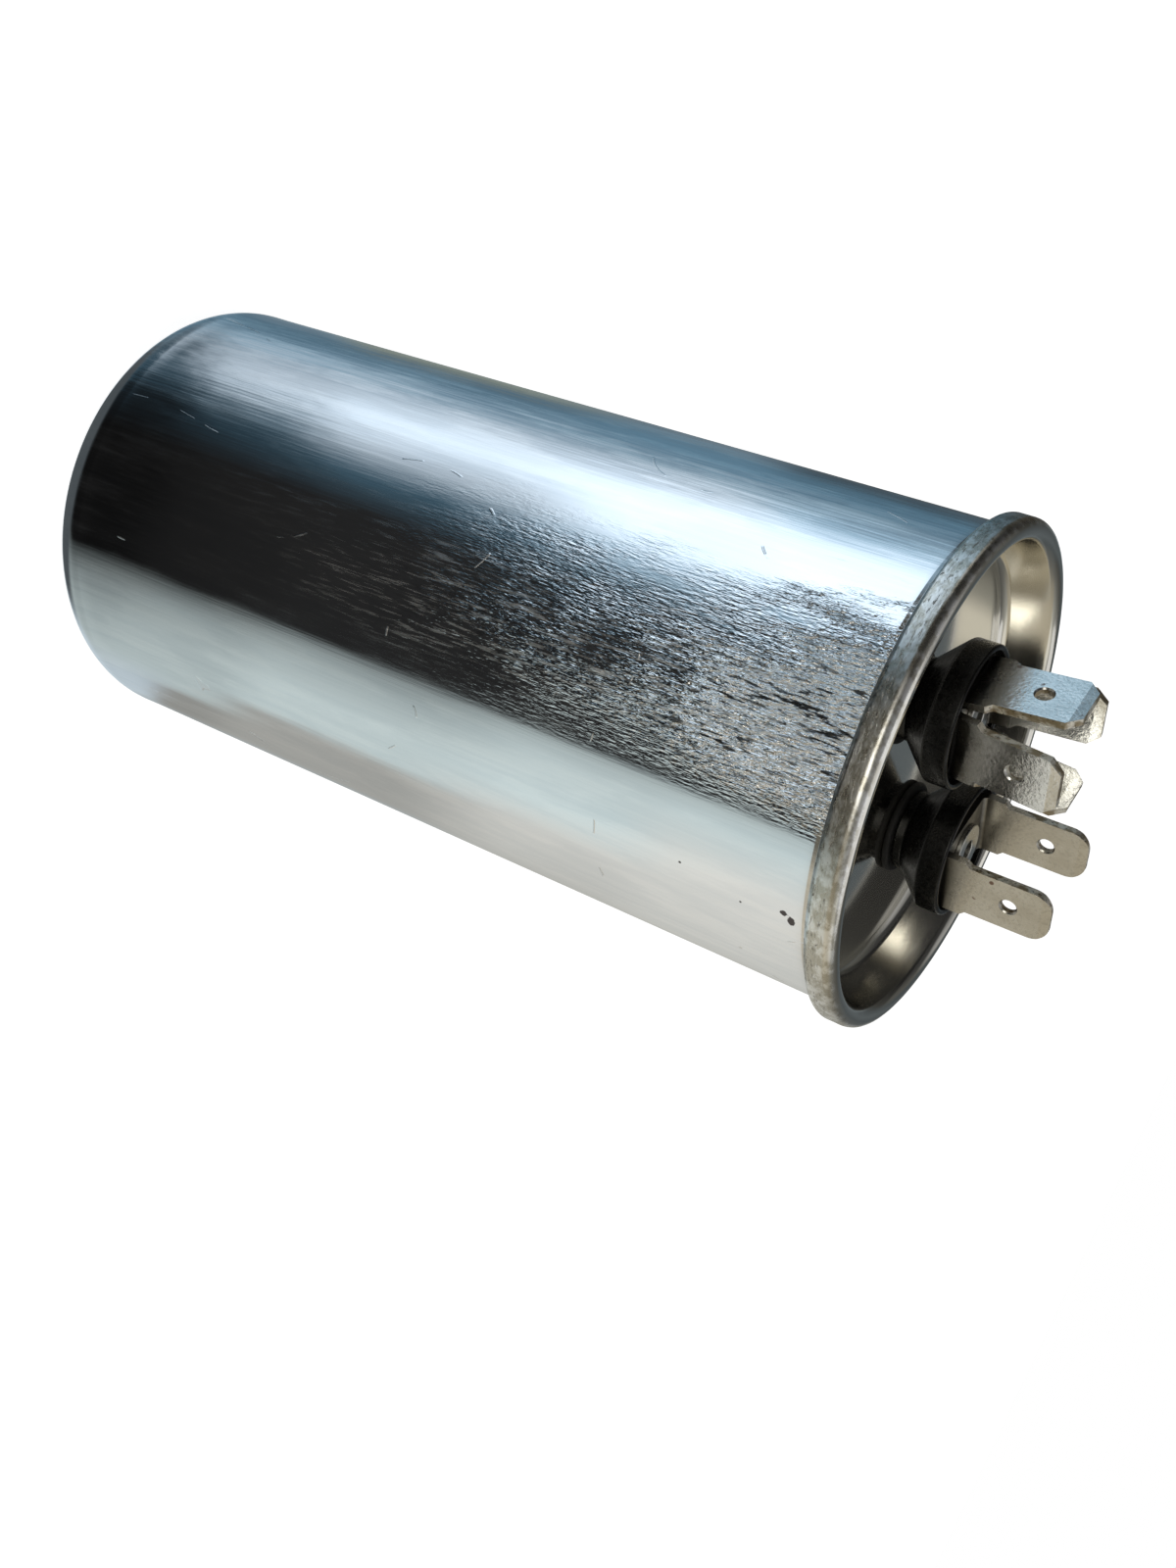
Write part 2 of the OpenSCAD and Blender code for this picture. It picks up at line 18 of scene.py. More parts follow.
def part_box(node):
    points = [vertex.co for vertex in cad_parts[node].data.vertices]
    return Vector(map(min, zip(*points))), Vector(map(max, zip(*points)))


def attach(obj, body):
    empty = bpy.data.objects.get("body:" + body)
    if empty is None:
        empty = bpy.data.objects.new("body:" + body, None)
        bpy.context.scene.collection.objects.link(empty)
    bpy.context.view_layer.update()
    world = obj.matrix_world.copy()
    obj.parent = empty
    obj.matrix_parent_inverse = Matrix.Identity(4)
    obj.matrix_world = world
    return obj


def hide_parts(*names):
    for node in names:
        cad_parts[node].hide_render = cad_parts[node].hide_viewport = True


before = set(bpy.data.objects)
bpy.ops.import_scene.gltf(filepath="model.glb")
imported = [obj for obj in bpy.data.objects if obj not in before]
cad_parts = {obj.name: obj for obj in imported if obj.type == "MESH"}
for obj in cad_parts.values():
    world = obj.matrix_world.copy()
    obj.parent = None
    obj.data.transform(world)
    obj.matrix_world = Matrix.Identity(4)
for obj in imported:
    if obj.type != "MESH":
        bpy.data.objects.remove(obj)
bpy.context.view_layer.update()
MM = 0.001            # one millimetre in metres
print("CAD nodes:", len(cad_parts))


# %% Read the sizes from the frame
def box_mm(node):
    """A node's lowest and highest corner, in millimetres."""
    low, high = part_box(node)
    return np.array(low) / MM, np.array(high) / MM


can_t = 0.4           # thickness of the can's wall
can_base_t = 0.6      # thickness of its closed end
can_r = 25.0
can_corner_r = 4.5
lid_t = 0.35
lid_low, lid_high = box_mm("lid")
seam_r = lid_high[0]
can_h = lid_high[2]
panel_z = lid_low[2] + lid_t
print(f"seam radius {seam_r:.2f} mm, seam top {can_h:.2f} mm, lid panel at {panel_z:.2f} mm")

# %% [markdown]
# ## Camera
# The camera stands close and looks down on the can, so that the can fills most of the frame.
# A camera is simplest to aim by three angles: the direction it looks in, how far it dips,
# and how far it is rolled about its own axis. The can seems to lie down because of the roll.

# %% Camera
camera_place = Vector((118.92, 99.79, 141.21)) * MM
look_azimuth = math.radians(214.85)
look_dip = math.radians(26.3)
camera_roll = math.radians(112.3)
lens_mm = 36.48
sensor_mm = 36.0

forward = Vector((
    math.cos(look_dip) * math.cos(look_azimuth),
    math.cos(look_dip) * math.sin(look_azimuth),
    -math.sin(look_dip),
))
level = forward.cross(Vector((0, 0, 1))).normalized()
upright = level.cross(forward)
right = math.cos(camera_roll) * level + math.sin(camera_roll) * upright
up = right.cross(forward)
camera_data = bpy.data.cameras.new("camera")
camera_data.lens = lens_mm
camera_data.sensor_width = sensor_mm
camera_data.clip_start = 0.001
camera = bpy.data.objects.new("camera", camera_data)
camera.matrix_world = Matrix((
    (right.x, up.x, -forward.x, camera_place.x),
    (right.y, up.y, -forward.y, camera_place.y),
    (right.z, up.z, -forward.z, camera_place.z),
    (0, 0, 0, 1),
))
bpy.context.scene.collection.objects.link(camera)
bpy.context.scene.camera = camera
bpy.context.scene.view_settings.view_transform = "Standard"
print(f"camera {camera_place.length / MM:.0f} mm from the origin")


# %% [markdown]
# ## Small helpers for node trees
# A finish here is a chain of nodes. Blender can be told of each node in three lines, but a
# finish would then fill pages. A few helpers keep the chains readable: each adds one node,
# sets or links its inputs, and gives its output back, so that one line reads as one step.

# %% Node helpers
def add(tree, kind, inputs=None, **settings):
    """Adds a node, sets its settings, and links or sets each named or numbered input."""
    node = tree.nodes.new(kind)
    for name, value in settings.items():
        setattr(node, name, value)
    for name, value in (inputs or {}).items():
        socket = node.inputs[name]
        if isinstance(value, bpy.types.NodeSocket):
            tree.links.new(value, socket)
        else:
            socket.default_value = value
    return node


def calc(tree, operation, *values, clamp=False):
    """Adds a Math node and gives its output."""
    node = add(tree, "ShaderNodeMath", dict(enumerate(values)), operation=operation)
    node.use_clamp = clamp
    return node.outputs[0]


def spread(tree, value, low, high, to_low=0.0, to_high=1.0, smooth=True):
    """Maps a value from one range to another, and stops at the ends."""
    kind = "SMOOTHSTEP" if smooth else "LINEAR"
    node = add(tree, "ShaderNodeMapRange", {0: value, 1: low, 2: high, 3: to_low, 4: to_high},
               interpolation_type=kind)
    return node.outputs[0]


def ramp(tree, value, stops):
    """Adds a Color Ramp with the given (position, colour) stops and gives its colour."""
    node = add(tree, "ShaderNodeValToRGB", {0: value})
    elements = node.color_ramp.elements
    while len(elements) < len(stops):
        elements.new(0.5)
    for element, (position, colour) in zip(elements, stops):
        element.position = position
        element.color = (*colour, 1.0)
    return node.outputs[0]


def mix_colour(tree, share, first, second):
    """Mixes two colours: a share of 0 gives the first, and 1 the second."""
    node = add(tree, "ShaderNodeMix", data_type="RGBA", blend_type="MIX")
    for index, value in ((0, share), (6, first), (7, second)):
        if isinstance(value, bpy.types.NodeSocket):
            tree.links.new(value, node.inputs[index])
        elif index == 0:
            node.inputs[index].default_value = value
        else:
            node.inputs[index].default_value = (*value, 1.0)
    return node.outputs[2]


# %% Texture and material helpers
def noise(tree, where, stretch, detail=3.0, rough=0.5, distortion=0.0, shift=(0, 0, 0)):
    """Noise whose grains have the given size in millimetres along X, Y and Z."""
    scale = tuple(1 / (size * MM) for size in stretch)
    placed = add(tree, "ShaderNodeMapping", {"Vector": where, "Scale": scale, "Location": shift})
    node = add(tree, "ShaderNodeTexNoise", {
        "Vector": placed.outputs[0], "Scale": 1.0, "Detail": detail,
        "Roughness": rough, "Distortion": distortion,
    })
    return node.outputs["Fac"]


def bump(tree, height, depth):
    """A Bump node whose full height is the given depth in millimetres."""
    return add(tree, "ShaderNodeBump", {
        "Height": height, "Distance": depth * MM, "Strength": 1.0}).outputs[0]


def new_material(name, **constants):
    """A new material, its tree, its Principled shader and its Object coordinates.

    The constants go on the shader's own sockets: underscores stand for spaces.
    """
    material = bpy.data.materials.new(name)
    material.use_nodes = True
    tree = material.node_tree
    shader = tree.nodes["Principled BSDF"]
    for socket, value in constants.items():
        shader.inputs[socket.replace("_", " ")].default_value = value
    where = add(tree, "ShaderNodeTexCoord").outputs["Object"]
    return material, tree, shader, where


def feed(tree, shader, **links):
    """Links sockets to the shader's inputs: underscores in a name stand for spaces."""
    for name, socket in links.items():
        tree.links.new(socket, shader.inputs[name.replace("_", " ")])


def tell(material):
    """Prints how many nodes a finish has."""
    print(f"finish {material.name}: {len(material.node_tree.nodes)} nodes")


# %% [markdown]
# ## Light and room
# Bright metal has hardly any colour of its own: it shows the room. So the room comes
# before the finishes. It is a soft gradient by direction. One side is a cool bright window,
# the side behind the camera is in shade, and the other side is a pale table. Large lamps
# and cards could do the same, but each would need its own place and size. A world that is
# painted by direction does it in one chain. The camera itself sees plain white.

# %% Room tints and rows
ROOM_TURN = 40.0      # azimuth of the camera's side of the room, in degrees
TINT = {
    "deep_blue": (0.55, 1.09, 1.50), "blue": (0.72, 1.05, 1.30), "pale_blue": (0.87, 1.03, 1.17),
    "grey": (1.00, 1.00, 1.00), "cool": (0.90, 1.04, 1.03), "table": (1.01, 1.01, 0.94),
    "cream": (1.10, 1.00, 0.78), "sky": (0.88, 1.02, 1.10),
    "warm": (1.03, 1.00, 0.91), "olive": (0.92, 1.05, 0.88),
}
# Each row is (lowest elevation, highest elevation, stops), and each stop is
# (azimuth from the camera's side, brightness, tint). Rows blend into one another.
ROOM_ROWS = [
    (-90, -64, [(-180, 0.08, "sky"), (180, 0.08, "sky")]),
    (-52, -44.5, [
        (-180, 0.45, "sky"), (-150, 0.28, "blue"), (-129, 0.15, "deep_blue"),
        (-112, 0.19, "blue"), (-90, 0.10, "blue"), (-72, 0.07, "deep_blue"),
        (-52, 0.014, "blue"), (-26, 0.005, "grey"), (42, 0.005, "grey"), (50, 0.10, "cool"),
        (60, 0.22, "cool"), (78, 0.35, "cool"), (104, 0.46, "cool"), (129, 0.60, "sky"),
        (150, 0.64, "sky"), (180, 0.45, "sky")]),
    (-42.7, -42.1, [
        (-180, 0.42, "sky"), (-153, 0.20, "blue"), (-132, 0.16, "deep_blue"),
        (-112, 0.40, "blue"), (-95, 0.50, "pale_blue"), (-78, 0.66, "pale_blue"),
        (-62, 0.16, "blue"), (-46, 0.04, "deep_blue"), (-26, 0.012, "grey"),
        (43, 0.012, "grey"), (49, 0.14, "cool"), (60, 0.32, "cool"), (80, 0.44, "cool"),
        (106, 0.52, "cool"), (128, 0.56, "sky"), (150, 0.60, "sky"), (180, 0.45, "sky")]),
    (-41.0, -40.2, [
        (-180, 0.42, "sky"), (-153, 0.20, "blue"), (-132, 0.16, "deep_blue"),
        (-112, 0.40, "blue"), (-95, 0.52, "pale_blue"), (-78, 0.70, "pale_blue"),
        (-62, 0.20, "blue"), (-46, 0.05, "deep_blue"), (-26, 0.014, "grey"),
        (43, 0.014, "grey"), (49, 0.16, "cool"), (60, 0.34, "cool"), (80, 0.46, "cool"),
        (116, 0.52, "cool"), (124, 0.30, "table"), (150, 0.29, "table"), (180, 0.42, "sky")]),
    (-38, -33, [
        (-180, 0.36, "sky"), (-153, 0.24, "olive"), (-140, 0.17, "blue"),
        (-132, 0.16, "deep_blue"), (-112, 0.37, "blue"), (-95, 0.62, "pale_blue"),
        (-78, 1.02, "pale_blue"), (-60, 0.52, "pale_blue"), (-44, 0.09, "deep_blue"),
        (-26, 0.018, "grey"), (43, 0.018, "grey"), (49, 0.28, "cool"), (60, 0.44, "cool"),
        (80, 0.61, "cool"), (100, 0.60, "cool"), (107, 0.37, "table"), (150, 0.36, "table"),
        (180, 0.42, "sky")]),
    (-28, -25, [
        (-180, 0.20, "sky"), (-150, 0.20, "blue"), (-129, 0.22, "deep_blue"),
        (-112, 0.33, "blue"), (-95, 0.66, "pale_blue"), (-82, 1.22, "pale_blue"),
        (-60, 1.15, "pale_blue"), (-44, 0.46, "blue"), (-30, 0.07, "blue"),
        (-18, 0.020, "grey"), (43, 0.020, "grey"), (48, 0.46, "cool"), (58, 0.60, "cool"),
        (84, 0.70, "cool"), (104, 0.62, "table"), (150, 0.50, "table"), (180, 0.40, "table")]),
    (-22, -17, [
        (-180, 0.14, "sky"), (-150, 0.08, "blue"), (-129, 0.19, "deep_blue"),
        (-112, 0.30, "blue"), (-95, 0.62, "blue"), (-82, 1.25, "pale_blue"),
        (-58, 1.25, "pale_blue"), (-44, 0.46, "blue"), (-30, 0.08, "blue"),
        (-18, 0.022, "grey"), (43, 0.020, "grey"), (48, 0.52, "cool"), (58, 0.66, "cool"),
        (84, 0.72, "table"), (104, 0.66, "table"), (150, 0.56, "table"), (180, 0.40, "table")]),
    (-13, -7, [
        (-180, 0.18, "sky"), (-168, 0.26, "sky"), (-152, 0.06, "cream"),
        (-112, 0.035, "cream"), (-98, 0.26, "blue"), (-84, 0.30, "blue"),
        (-70, 0.06, "cream"), (-30, 0.05, "cream"), (10, 0.16, "cream"), (48, 0.12, "cream"),
        (62, 0.42, "cream"), (96, 0.44, "cream"), (110, 0.36, "cream"), (150, 0.38, "table"),
        (180, 0.20, "table")]),
    (-3, 0, [
        (-180, 0.22, "sky"), (-168, 0.34, "sky"), (-155, 0.05, "cream"),
        (-112, 0.02, "cream"), (-103, 0.40, "cream"), (-92, 0.75, "warm"),
        (-76, 0.80, "warm"), (-66, 0.06, "cream"), (-28, 0.05, "cream"), (0, 0.15, "cream"),
        (48, 0.34, "cream"), (74, 0.50, "cream"), (92, 0.62, "cream"), (108, 0.40, "cream"),
        (124, 0.34, "table"), (150, 0.38, "table"), (180, 0.22, "sky")]),
    (5, 21, [
        (-180, 0.12, "sky"), (-166, 0.09, "sky"), (-152, 0.05, "table"), (-120, 0.02, "grey"),
        (-44, 0.03, "grey"), (-26, 0.12, "cream"), (-12, 1.20, "warm"), (0, 2.60, "warm"),
        (14, 2.60, "warm"), (26, 1.00, "warm"), (38, 0.22, "cream"), (84, 0.45, "cream"),
        (108, 0.38, "cream"), (140, 0.14, "table"), (168, 0.09, "sky"), (180, 0.12, "sky")]),
    (27, 41, [
        (-180, 0.07, "sky"), (-168, 0.085, "sky"), (-150, 0.10, "table"), (-118, 0.05, "grey"),
        (-50, 0.03, "grey"), (-10, 0.05, "grey"),
        (14, 0.12, "table"), (66, 0.30, "table"), (80, 0.75, "warm"), (98, 0.75, "warm"),
        (112, 0.34, "table"), (140, 0.14, "table"), (160, 0.08, "table"), (180, 0.07, "sky")]),
    (52, 90, [(-180, 0.34, "grey"), (-135, 0.34, "grey"), (-80, 0.16, "grey"),
              (-12, 0.18, "grey"), (60, 0.32, "grey"), (130, 0.26, "grey"), (180, 0.34, "grey")]),
]
print("room rows:", len(ROOM_ROWS))


# %% Room
def row_colours(stops):
    """Turns (azimuth, brightness, tint) stops into Color Ramp stops from 0 to 1."""
    return [((azimuth + 180) / 360, tuple(brightness * part for part in TINT[tint]))
            for azimuth, brightness, tint in stops]


world = bpy.data.worlds.new("room")
bpy.context.scene.world = world
world.use_nodes = True
tree = world.node_tree
tree.nodes.clear()
direction = add(tree, "ShaderNodeTexCoord").outputs["Generated"]
turned = add(tree, "ShaderNodeVectorRotate", {
    "Vector": direction, "Angle": math.radians(-ROOM_TURN)}, rotation_type="Z_AXIS").outputs[0]
parts = add(tree, "ShaderNodeSeparateXYZ", {0: turned}).outputs
azimuth = calc(tree, "ARCTAN2", parts["Y"], parts["X"])
around = calc(tree, "MULTIPLY_ADD", azimuth, 1 / (2 * math.pi), 0.5)
elevation = calc(tree, "ARCSINE", parts["Z"])
room = ramp(tree, around, row_colours(ROOM_ROWS[0][2]))
for under, row in zip(ROOM_ROWS, ROOM_ROWS[1:]):
    share = spread(tree, elevation, math.radians(under[1]), math.radians(row[0]))
    room = mix_colour(tree, share, room, ramp(tree, around, row_colours(row[2])))
room_light = add(tree, "ShaderNodeBackground", {"Color": room, "Strength": 1.0}).outputs[0]
white = add(tree, "ShaderNodeBackground", {"Color": (1, 1, 1, 1), "Strength": 1.0}).outputs[0]
seen = add(tree, "ShaderNodeLightPath").outputs["Is Camera Ray"]
surface = add(tree, "ShaderNodeMixShader", {0: seen, 1: room_light, 2: white}).outputs[0]
add(tree, "ShaderNodeOutputWorld", {"Surface": surface})
print("room nodes:", len(tree.nodes))

# %% [markdown]
# ## Lamp and floor
# The room gives nearly all the light. One wide, faint lamp above it puts a soft shade under
# the seam and the blades, which a room alone would wash out. The floor is pale grey, and
# for the camera alone a plain glow lifts it to white, so the lift lights nothing and the
# shadow on the floor stays. The metal shows the room in place of the floor.

# %% Lamp
lamp_aim = Vector((0, 0, 90)) * MM


def softbox(name, azimuth, elevation, distance, size, watts):
    """Adds a square area lamp that faces the lid from a direction in degrees.

    Azimuth a and elevation e point along (cos e cos a, cos e sin a, sin e).
    """
    a, e = math.radians(azimuth + ROOM_TURN), math.radians(elevation)
    way = Vector((math.cos(e) * math.cos(a), math.cos(e) * math.sin(a), math.sin(e)))
    lamp = bpy.data.lights.new(name, "AREA")
    lamp.size, lamp.energy = size, watts
    holder = bpy.data.objects.new(name, lamp)
    holder.location = lamp_aim + way * distance
    holder.rotation_euler = (-way).to_track_quat("-Z", "Y").to_euler()
    bpy.context.scene.collection.objects.link(holder)


softbox("overhead_light", azimuth=150, elevation=72, distance=0.9, size=0.8, watts=1.0)

# %% Floor
floor_reach = 1.5     # metres from the middle to each side
floor_grey = 0.80
floor_glow = 0.86
bpy.ops.mesh.primitive_plane_add(size=2 * floor_reach, location=(0, 0, 0))
floor = bpy.context.object
floor.name = "floor"
floor_paint, tree, shader, where = new_material(
    "floor_paint", Roughness=0.9, Base_Color=(floor_grey, floor_grey, floor_grey, 1))
lift = add(tree, "ShaderNodeEmission", {"Color": (1, 1, 1, 1), "Strength": floor_glow}).outputs[0]
both = add(tree, "ShaderNodeAddShader", {0: shader.outputs[0], 1: lift}).outputs[0]
seen = add(tree, "ShaderNodeLightPath").outputs["Is Camera Ray"]
surface = add(tree, "ShaderNodeMixShader", {0: seen, 1: shader.outputs[0], 2: both}).outputs[0]
tree.links.new(surface, tree.nodes["Material Output"].inputs["Surface"])
floor.data.materials.append(floor_paint)
floor.visible_glossy = False
print(f"floor {2 * floor_reach:.0f} m wide")


# %% [markdown]
# ## Surfaces from numbers
# Nearly every piece is turned or folded. A turned piece is a profile carried round an
# axis: numpy works out all its points at once, as a grid of angles and profile points, and
# one function turns any such grid into a closed mesh. A profile is drawn the way a designer
# would: by its corners, each with the radius that rounds it.

# %% Grid to mesh
merge_reach = 0.0005 * MM    # points nearer than this are one point
SMOOTH_TURN = 35             # edges that turn less than this are shaded smooth, in degrees


def clean(piece):
    """Merges doubles, turns the faces outwards and shades them smooth up to an angle."""
    form = bmesh.new()
    form.from_mesh(piece.data)
    bmesh.ops.remove_doubles(form, verts=form.verts, dist=merge_reach)
    bmesh.ops.dissolve_degenerate(form, edges=form.edges, dist=0.4 * merge_reach)
    bmesh.ops.recalc_face_normals(form, faces=form.faces)
    form.to_mesh(piece.data)
    form.free()
    piece.data.shade_smooth()
    piece.data.set_sharp_from_angle(angle=math.radians(SMOOTH_TURN))


def grid_object(name, grid, material, wrap_rows=False):
    """Makes a closed mesh from a grid of points, in millimetres.

    Columns run round the piece and always close on themselves. Rows close too when
    wrap_rows is set, and otherwise the first and the last row are poles. The face at
    (i, j) joins the points (i, j), (i, j+1), (i+1, j+1) and (i+1, j).
    """
    rows, columns = grid.shape[:2]
    index = np.arange(rows * columns).reshape(rows, columns)
    if wrap_rows:
        index = np.vstack([index, index[:1]])
    index = np.hstack([index, index[:, :1]])
    quads = np.stack([index[:-1, :-1], index[:-1, 1:], index[1:, 1:], index[1:, :-1]], -1)
    quads = quads.reshape(-1, 4)
    mesh = bpy.data.meshes.new(name)
    mesh.vertices.add(rows * columns)
    mesh.vertices.foreach_set("co", (grid.reshape(-1) * MM).astype(np.float32))
    mesh.loops.add(quads.size)
    mesh.loops.foreach_set("vertex_index", quads.reshape(-1).astype(np.int32))
    mesh.polygons.add(len(quads))
    mesh.polygons.foreach_set("loop_start", np.arange(0, quads.size, 4, dtype=np.int32))
    mesh.update(calc_edges=True)
    mesh.materials.append(material)
    piece = bpy.data.objects.new(name, mesh)
    bpy.context.scene.collection.objects.link(piece)
    clean(piece)
    return piece


# %% Paths
def fillet(corners, step=6.0):
    """Rounds the corners of a path.

    Each corner is (x, z, radius). A corner becomes an arc that touches both of its sides,
    with a point every few degrees, so the arc starts radius * tan(turn / 2) before it.
    """
    points = np.array([c[:2] for c in corners], float)
    path = [points[0]]
    for i in range(1, len(corners) - 1):
        radius = corners[i][2]
        before = points[i] - points[i - 1]
        after = points[i + 1] - points[i]
        before, after = before / np.linalg.norm(before), after / np.linalg.norm(after)
        turn = math.atan2(before[0] * after[1] - before[1] * after[0], before @ after)
        start = points[i] - before * radius * math.tan(abs(turn) / 2)
        side = np.array([-before[1], before[0]]) * math.copysign(1, turn)
        count = max(2, int(abs(math.degrees(turn)) / step) + 1)
        swing = np.linspace(0, abs(turn), count)[:, None]
        path.extend(start + radius * (np.sin(swing) * before + (1 - np.cos(swing)) * side))
    path.append(points[-1])
    return np.array(path)


def arc(x, y, radius, start, end, step=4.0):
    """Points on a circle from one angle to another, in degrees."""
    count = max(3, int(abs(end - start) / step) + 1)
    angle = np.radians(np.linspace(start, end, count))
    return np.stack([x + radius * np.cos(angle), y + radius * np.sin(angle)], 1)


def refine(path, longest):
    """Splits each straight of a path into equal steps no longer than the given length."""
    out = [path[:1]]
    for a, b in zip(path[:-1], path[1:]):
        steps = max(1, int(np.ceil(np.linalg.norm(b - a) / longest)))
        share = np.linspace(0, 1, steps + 1)[1:, None]
        out.append(a + (b - a) * share)
    return np.vstack(out)


def thicken(path, thickness):
    """Both faces of a sheet whose middle runs along the path, as one closed outline.

    Each point moves half the thickness to either side, square to the path's direction.
    """
    along = np.gradient(path, axis=0)
    along /= np.linalg.norm(along, axis=1)[:, None]
    across = np.stack([-along[:, 1], along[:, 0]], 1) * np.reshape(thickness, (-1, 1)) / 2
    return np.vstack([path + across, (path - across)[::-1]])


# %% Turned pieces
def revolve(name, profile, material, columns, wrap_rows=False, centre=(0, 0), waves=None):
    """Carries a profile of (radius, height) round an upright axis.

    Point (i, j) is (r_i cos a_j, r_i sin a_j, z_i). The waves function may add a small
    distance to the radius, from the angle and the height, which fades out towards the axis.
    """
    angle = np.linspace(0, 2 * np.pi, columns, endpoint=False)
    r, a = np.meshgrid(profile[:, 0], angle, indexing="ij")
    z = np.repeat(profile[:, 1:2], columns, axis=1)
    if waves is not None:
        r = r + waves(a, z) * np.clip(r / can_r, 0, 1)
    grid = np.stack([r * np.cos(a) + centre[0], r * np.sin(a) + centre[1], z], -1)
    return grid_object(name, grid, material, wrap_rows)


# %% [markdown]
# ## Drawn aluminium
# The can is drawn from a disc, which leaves fine streaks along its length. On one side the
# sheet was rubbed hard, and near the seam that side is torn into short dark and bright
# grains. Noise that is stretched along Z gives the streaks, and masks by side and by height
# say where the grains lie. All marks share one height field and one Bump node, so that
# they catch the light together. The deepest pits are dark. Bluish grey clouds in the colour
# are partly a random tone and partly a painted reflection, strongest on the shaded side.

# %% Where the can is rubbed
RUBBED_SIDE = 37.0         # azimuth of the side that is torn most, in degrees
SHARP_END = (25, 10)       # degrees over which the rubbed side ends, one way round
SLOW_END = (-30, 2)        # the same, the other way round
TORN_HEIGHTS = (44, 90)    # millimetres over which the grains grow, upwards


def between(tree, angle, ends):
    """A mask that rises from the first to the second of two angles in degrees."""
    return spread(tree, angle, math.radians(ends[0]), math.radians(ends[1]))


def side_angle(tree, where):
    """The angle round the can's axis in radians, counted from the rubbed side."""
    spun = add(tree, "ShaderNodeVectorRotate", {
        "Vector": where, "Angle": math.radians(-RUBBED_SIDE)}, rotation_type="Z_AXIS").outputs[0]
    spun = add(tree, "ShaderNodeSeparateXYZ", {0: spun}).outputs
    return calc(tree, "ARCTAN2", spun["Y"], spun["X"])


def rubbed_area(tree, where, side):
    """A mask of the rubbed side: the product of its two ends, both ragged by a noise."""
    ragged = noise(tree, where, (2.0, 2.0, 12), detail=4, rough=0.6)
    ragged = calc(tree, "SUBTRACT", ragged, 0.5)
    sharp = between(tree, calc(tree, "MULTIPLY_ADD", ragged, 0.10, side), SHARP_END)
    slow = between(tree, calc(tree, "MULTIPLY_ADD", ragged, 0.60, side), SLOW_END)
    return calc(tree, "MULTIPLY", sharp, slow)


def torn_area(tree, where, height, rubbed):
    """The rubbed side once more, growing towards the seam and broken into patches."""
    high = spread(tree, height, *(z * MM for z in TORN_HEIGHTS), smooth=False)
    patches = noise(tree, where, (4.5, 4.5, 10), detail=3, rough=0.6, shift=(2, 5, 9))
    return calc(tree, "MULTIPLY", calc(tree, "MULTIPLY", rubbed, high),
                spread(tree, patches, 0.36, 0.62, 0.55, 1.15))


# %% Relief of the sheet
STREAK_H = 0.007           # heights of the marks in millimetres
HAIR_H = 0.003
SWELL_H = 0.020
GRAIN_H = 0.36
SCRATCH_H = 0.018
SEAM_HEIGHTS = (80, 96)    # millimetres over which the grains deepen
SHADED_SIDE = (-34, -46)   # degrees over which the streaks deepen again


def relief(tree, where, side, height, streaks, shaded, torn):
    """The sheet's height field: a sum of streaks, hair lines, slow swells and grains.

    Streaks and swells are deeper low on the can and on its shaded side.
    """
    hair = noise(tree, where, (0.25, 0.25, 11), detail=3, rough=0.6, shift=(5, 2, 1))
    swell = noise(tree, where, (5, 5, 26), detail=3, rough=0.55, shift=(1, 7, 3))
    grains = noise(tree, where, (0.25, 0.25, 1.25), detail=2, rough=0.55, shift=(3, 1, 2))
    deep = calc(tree, "MULTIPLY", spread(tree, height, 60 * MM, 12 * MM),
                between(tree, side, (-8, -24)))
    deep = calc(tree, "MAXIMUM", deep, calc(tree, "MULTIPLY", shaded, 1.2))
    field = calc(tree, "MULTIPLY", streaks, calc(tree, "MULTIPLY_ADD", deep, 0.042, STREAK_H))
    field = calc(tree, "MULTIPLY_ADD", hair, HAIR_H, field)
    swell_h = calc(tree, "MULTIPLY_ADD", deep, 0.085, SWELL_H)
    field = calc(tree, "MULTIPLY_ADD", swell, swell_h, field)
    by_seam = spread(tree, height, *(z * MM for z in SEAM_HEIGHTS), 1.0, 3.0)
    grain_h = calc(tree, "MULTIPLY", torn, by_seam)
    grains = calc(tree, "MULTIPLY", grain_h, calc(tree, "SUBTRACT", grains, 0.5))
    return calc(tree, "MULTIPLY_ADD", grains, GRAIN_H, field)


def scratches(tree, where):
    """Thin lines where a slow noise passes one half, broken up by a second noise."""
    lines = noise(tree, where, (16, 16, 26), detail=0, distortion=0.3, shift=(4, 4, 8))
    lines = calc(tree, "ABSOLUTE", calc(tree, "SUBTRACT", lines, 0.5))
    breaks = noise(tree, where, (3, 3, 5), detail=2, shift=(6, 2, 2))
    return calc(tree, "MULTIPLY", spread(tree, lines, 0.0032, 0.0010),
                spread(tree, breaks, 0.57, 0.61))


# %% Nicks
# Each nick is (azimuth in degrees, height and size in millimetres).
NICKS = [(82.2, 97.2, 0.6), (81.0, 96.4, 0.4), (83.0, 92.0, 0.18), (79.0, 85.5, 0.18)]


def nick_mask(tree, where):
    """Small nicks: each is a ball round a point of the wall, its edge bent by a noise."""
    wobble = noise(tree, where, (0.5, 0.5, 0.5), detail=3)
    mask = 0.0
    for degrees, z, size in NICKS:
        a = math.radians(degrees)
        centre = (can_r * math.cos(a) * MM, can_r * math.sin(a) * MM, z * MM)
        away = add(tree, "ShaderNodeVectorMath", {0: where, 1: centre}, operation="DISTANCE")
        away = calc(tree, "MULTIPLY_ADD", wobble, -1.5 * size * MM, away.outputs["Value"])
        edge = 0.12 * size * MM
        mask = calc(tree, "MAXIMUM", mask, spread(tree, away, edge, -edge))
    return mask


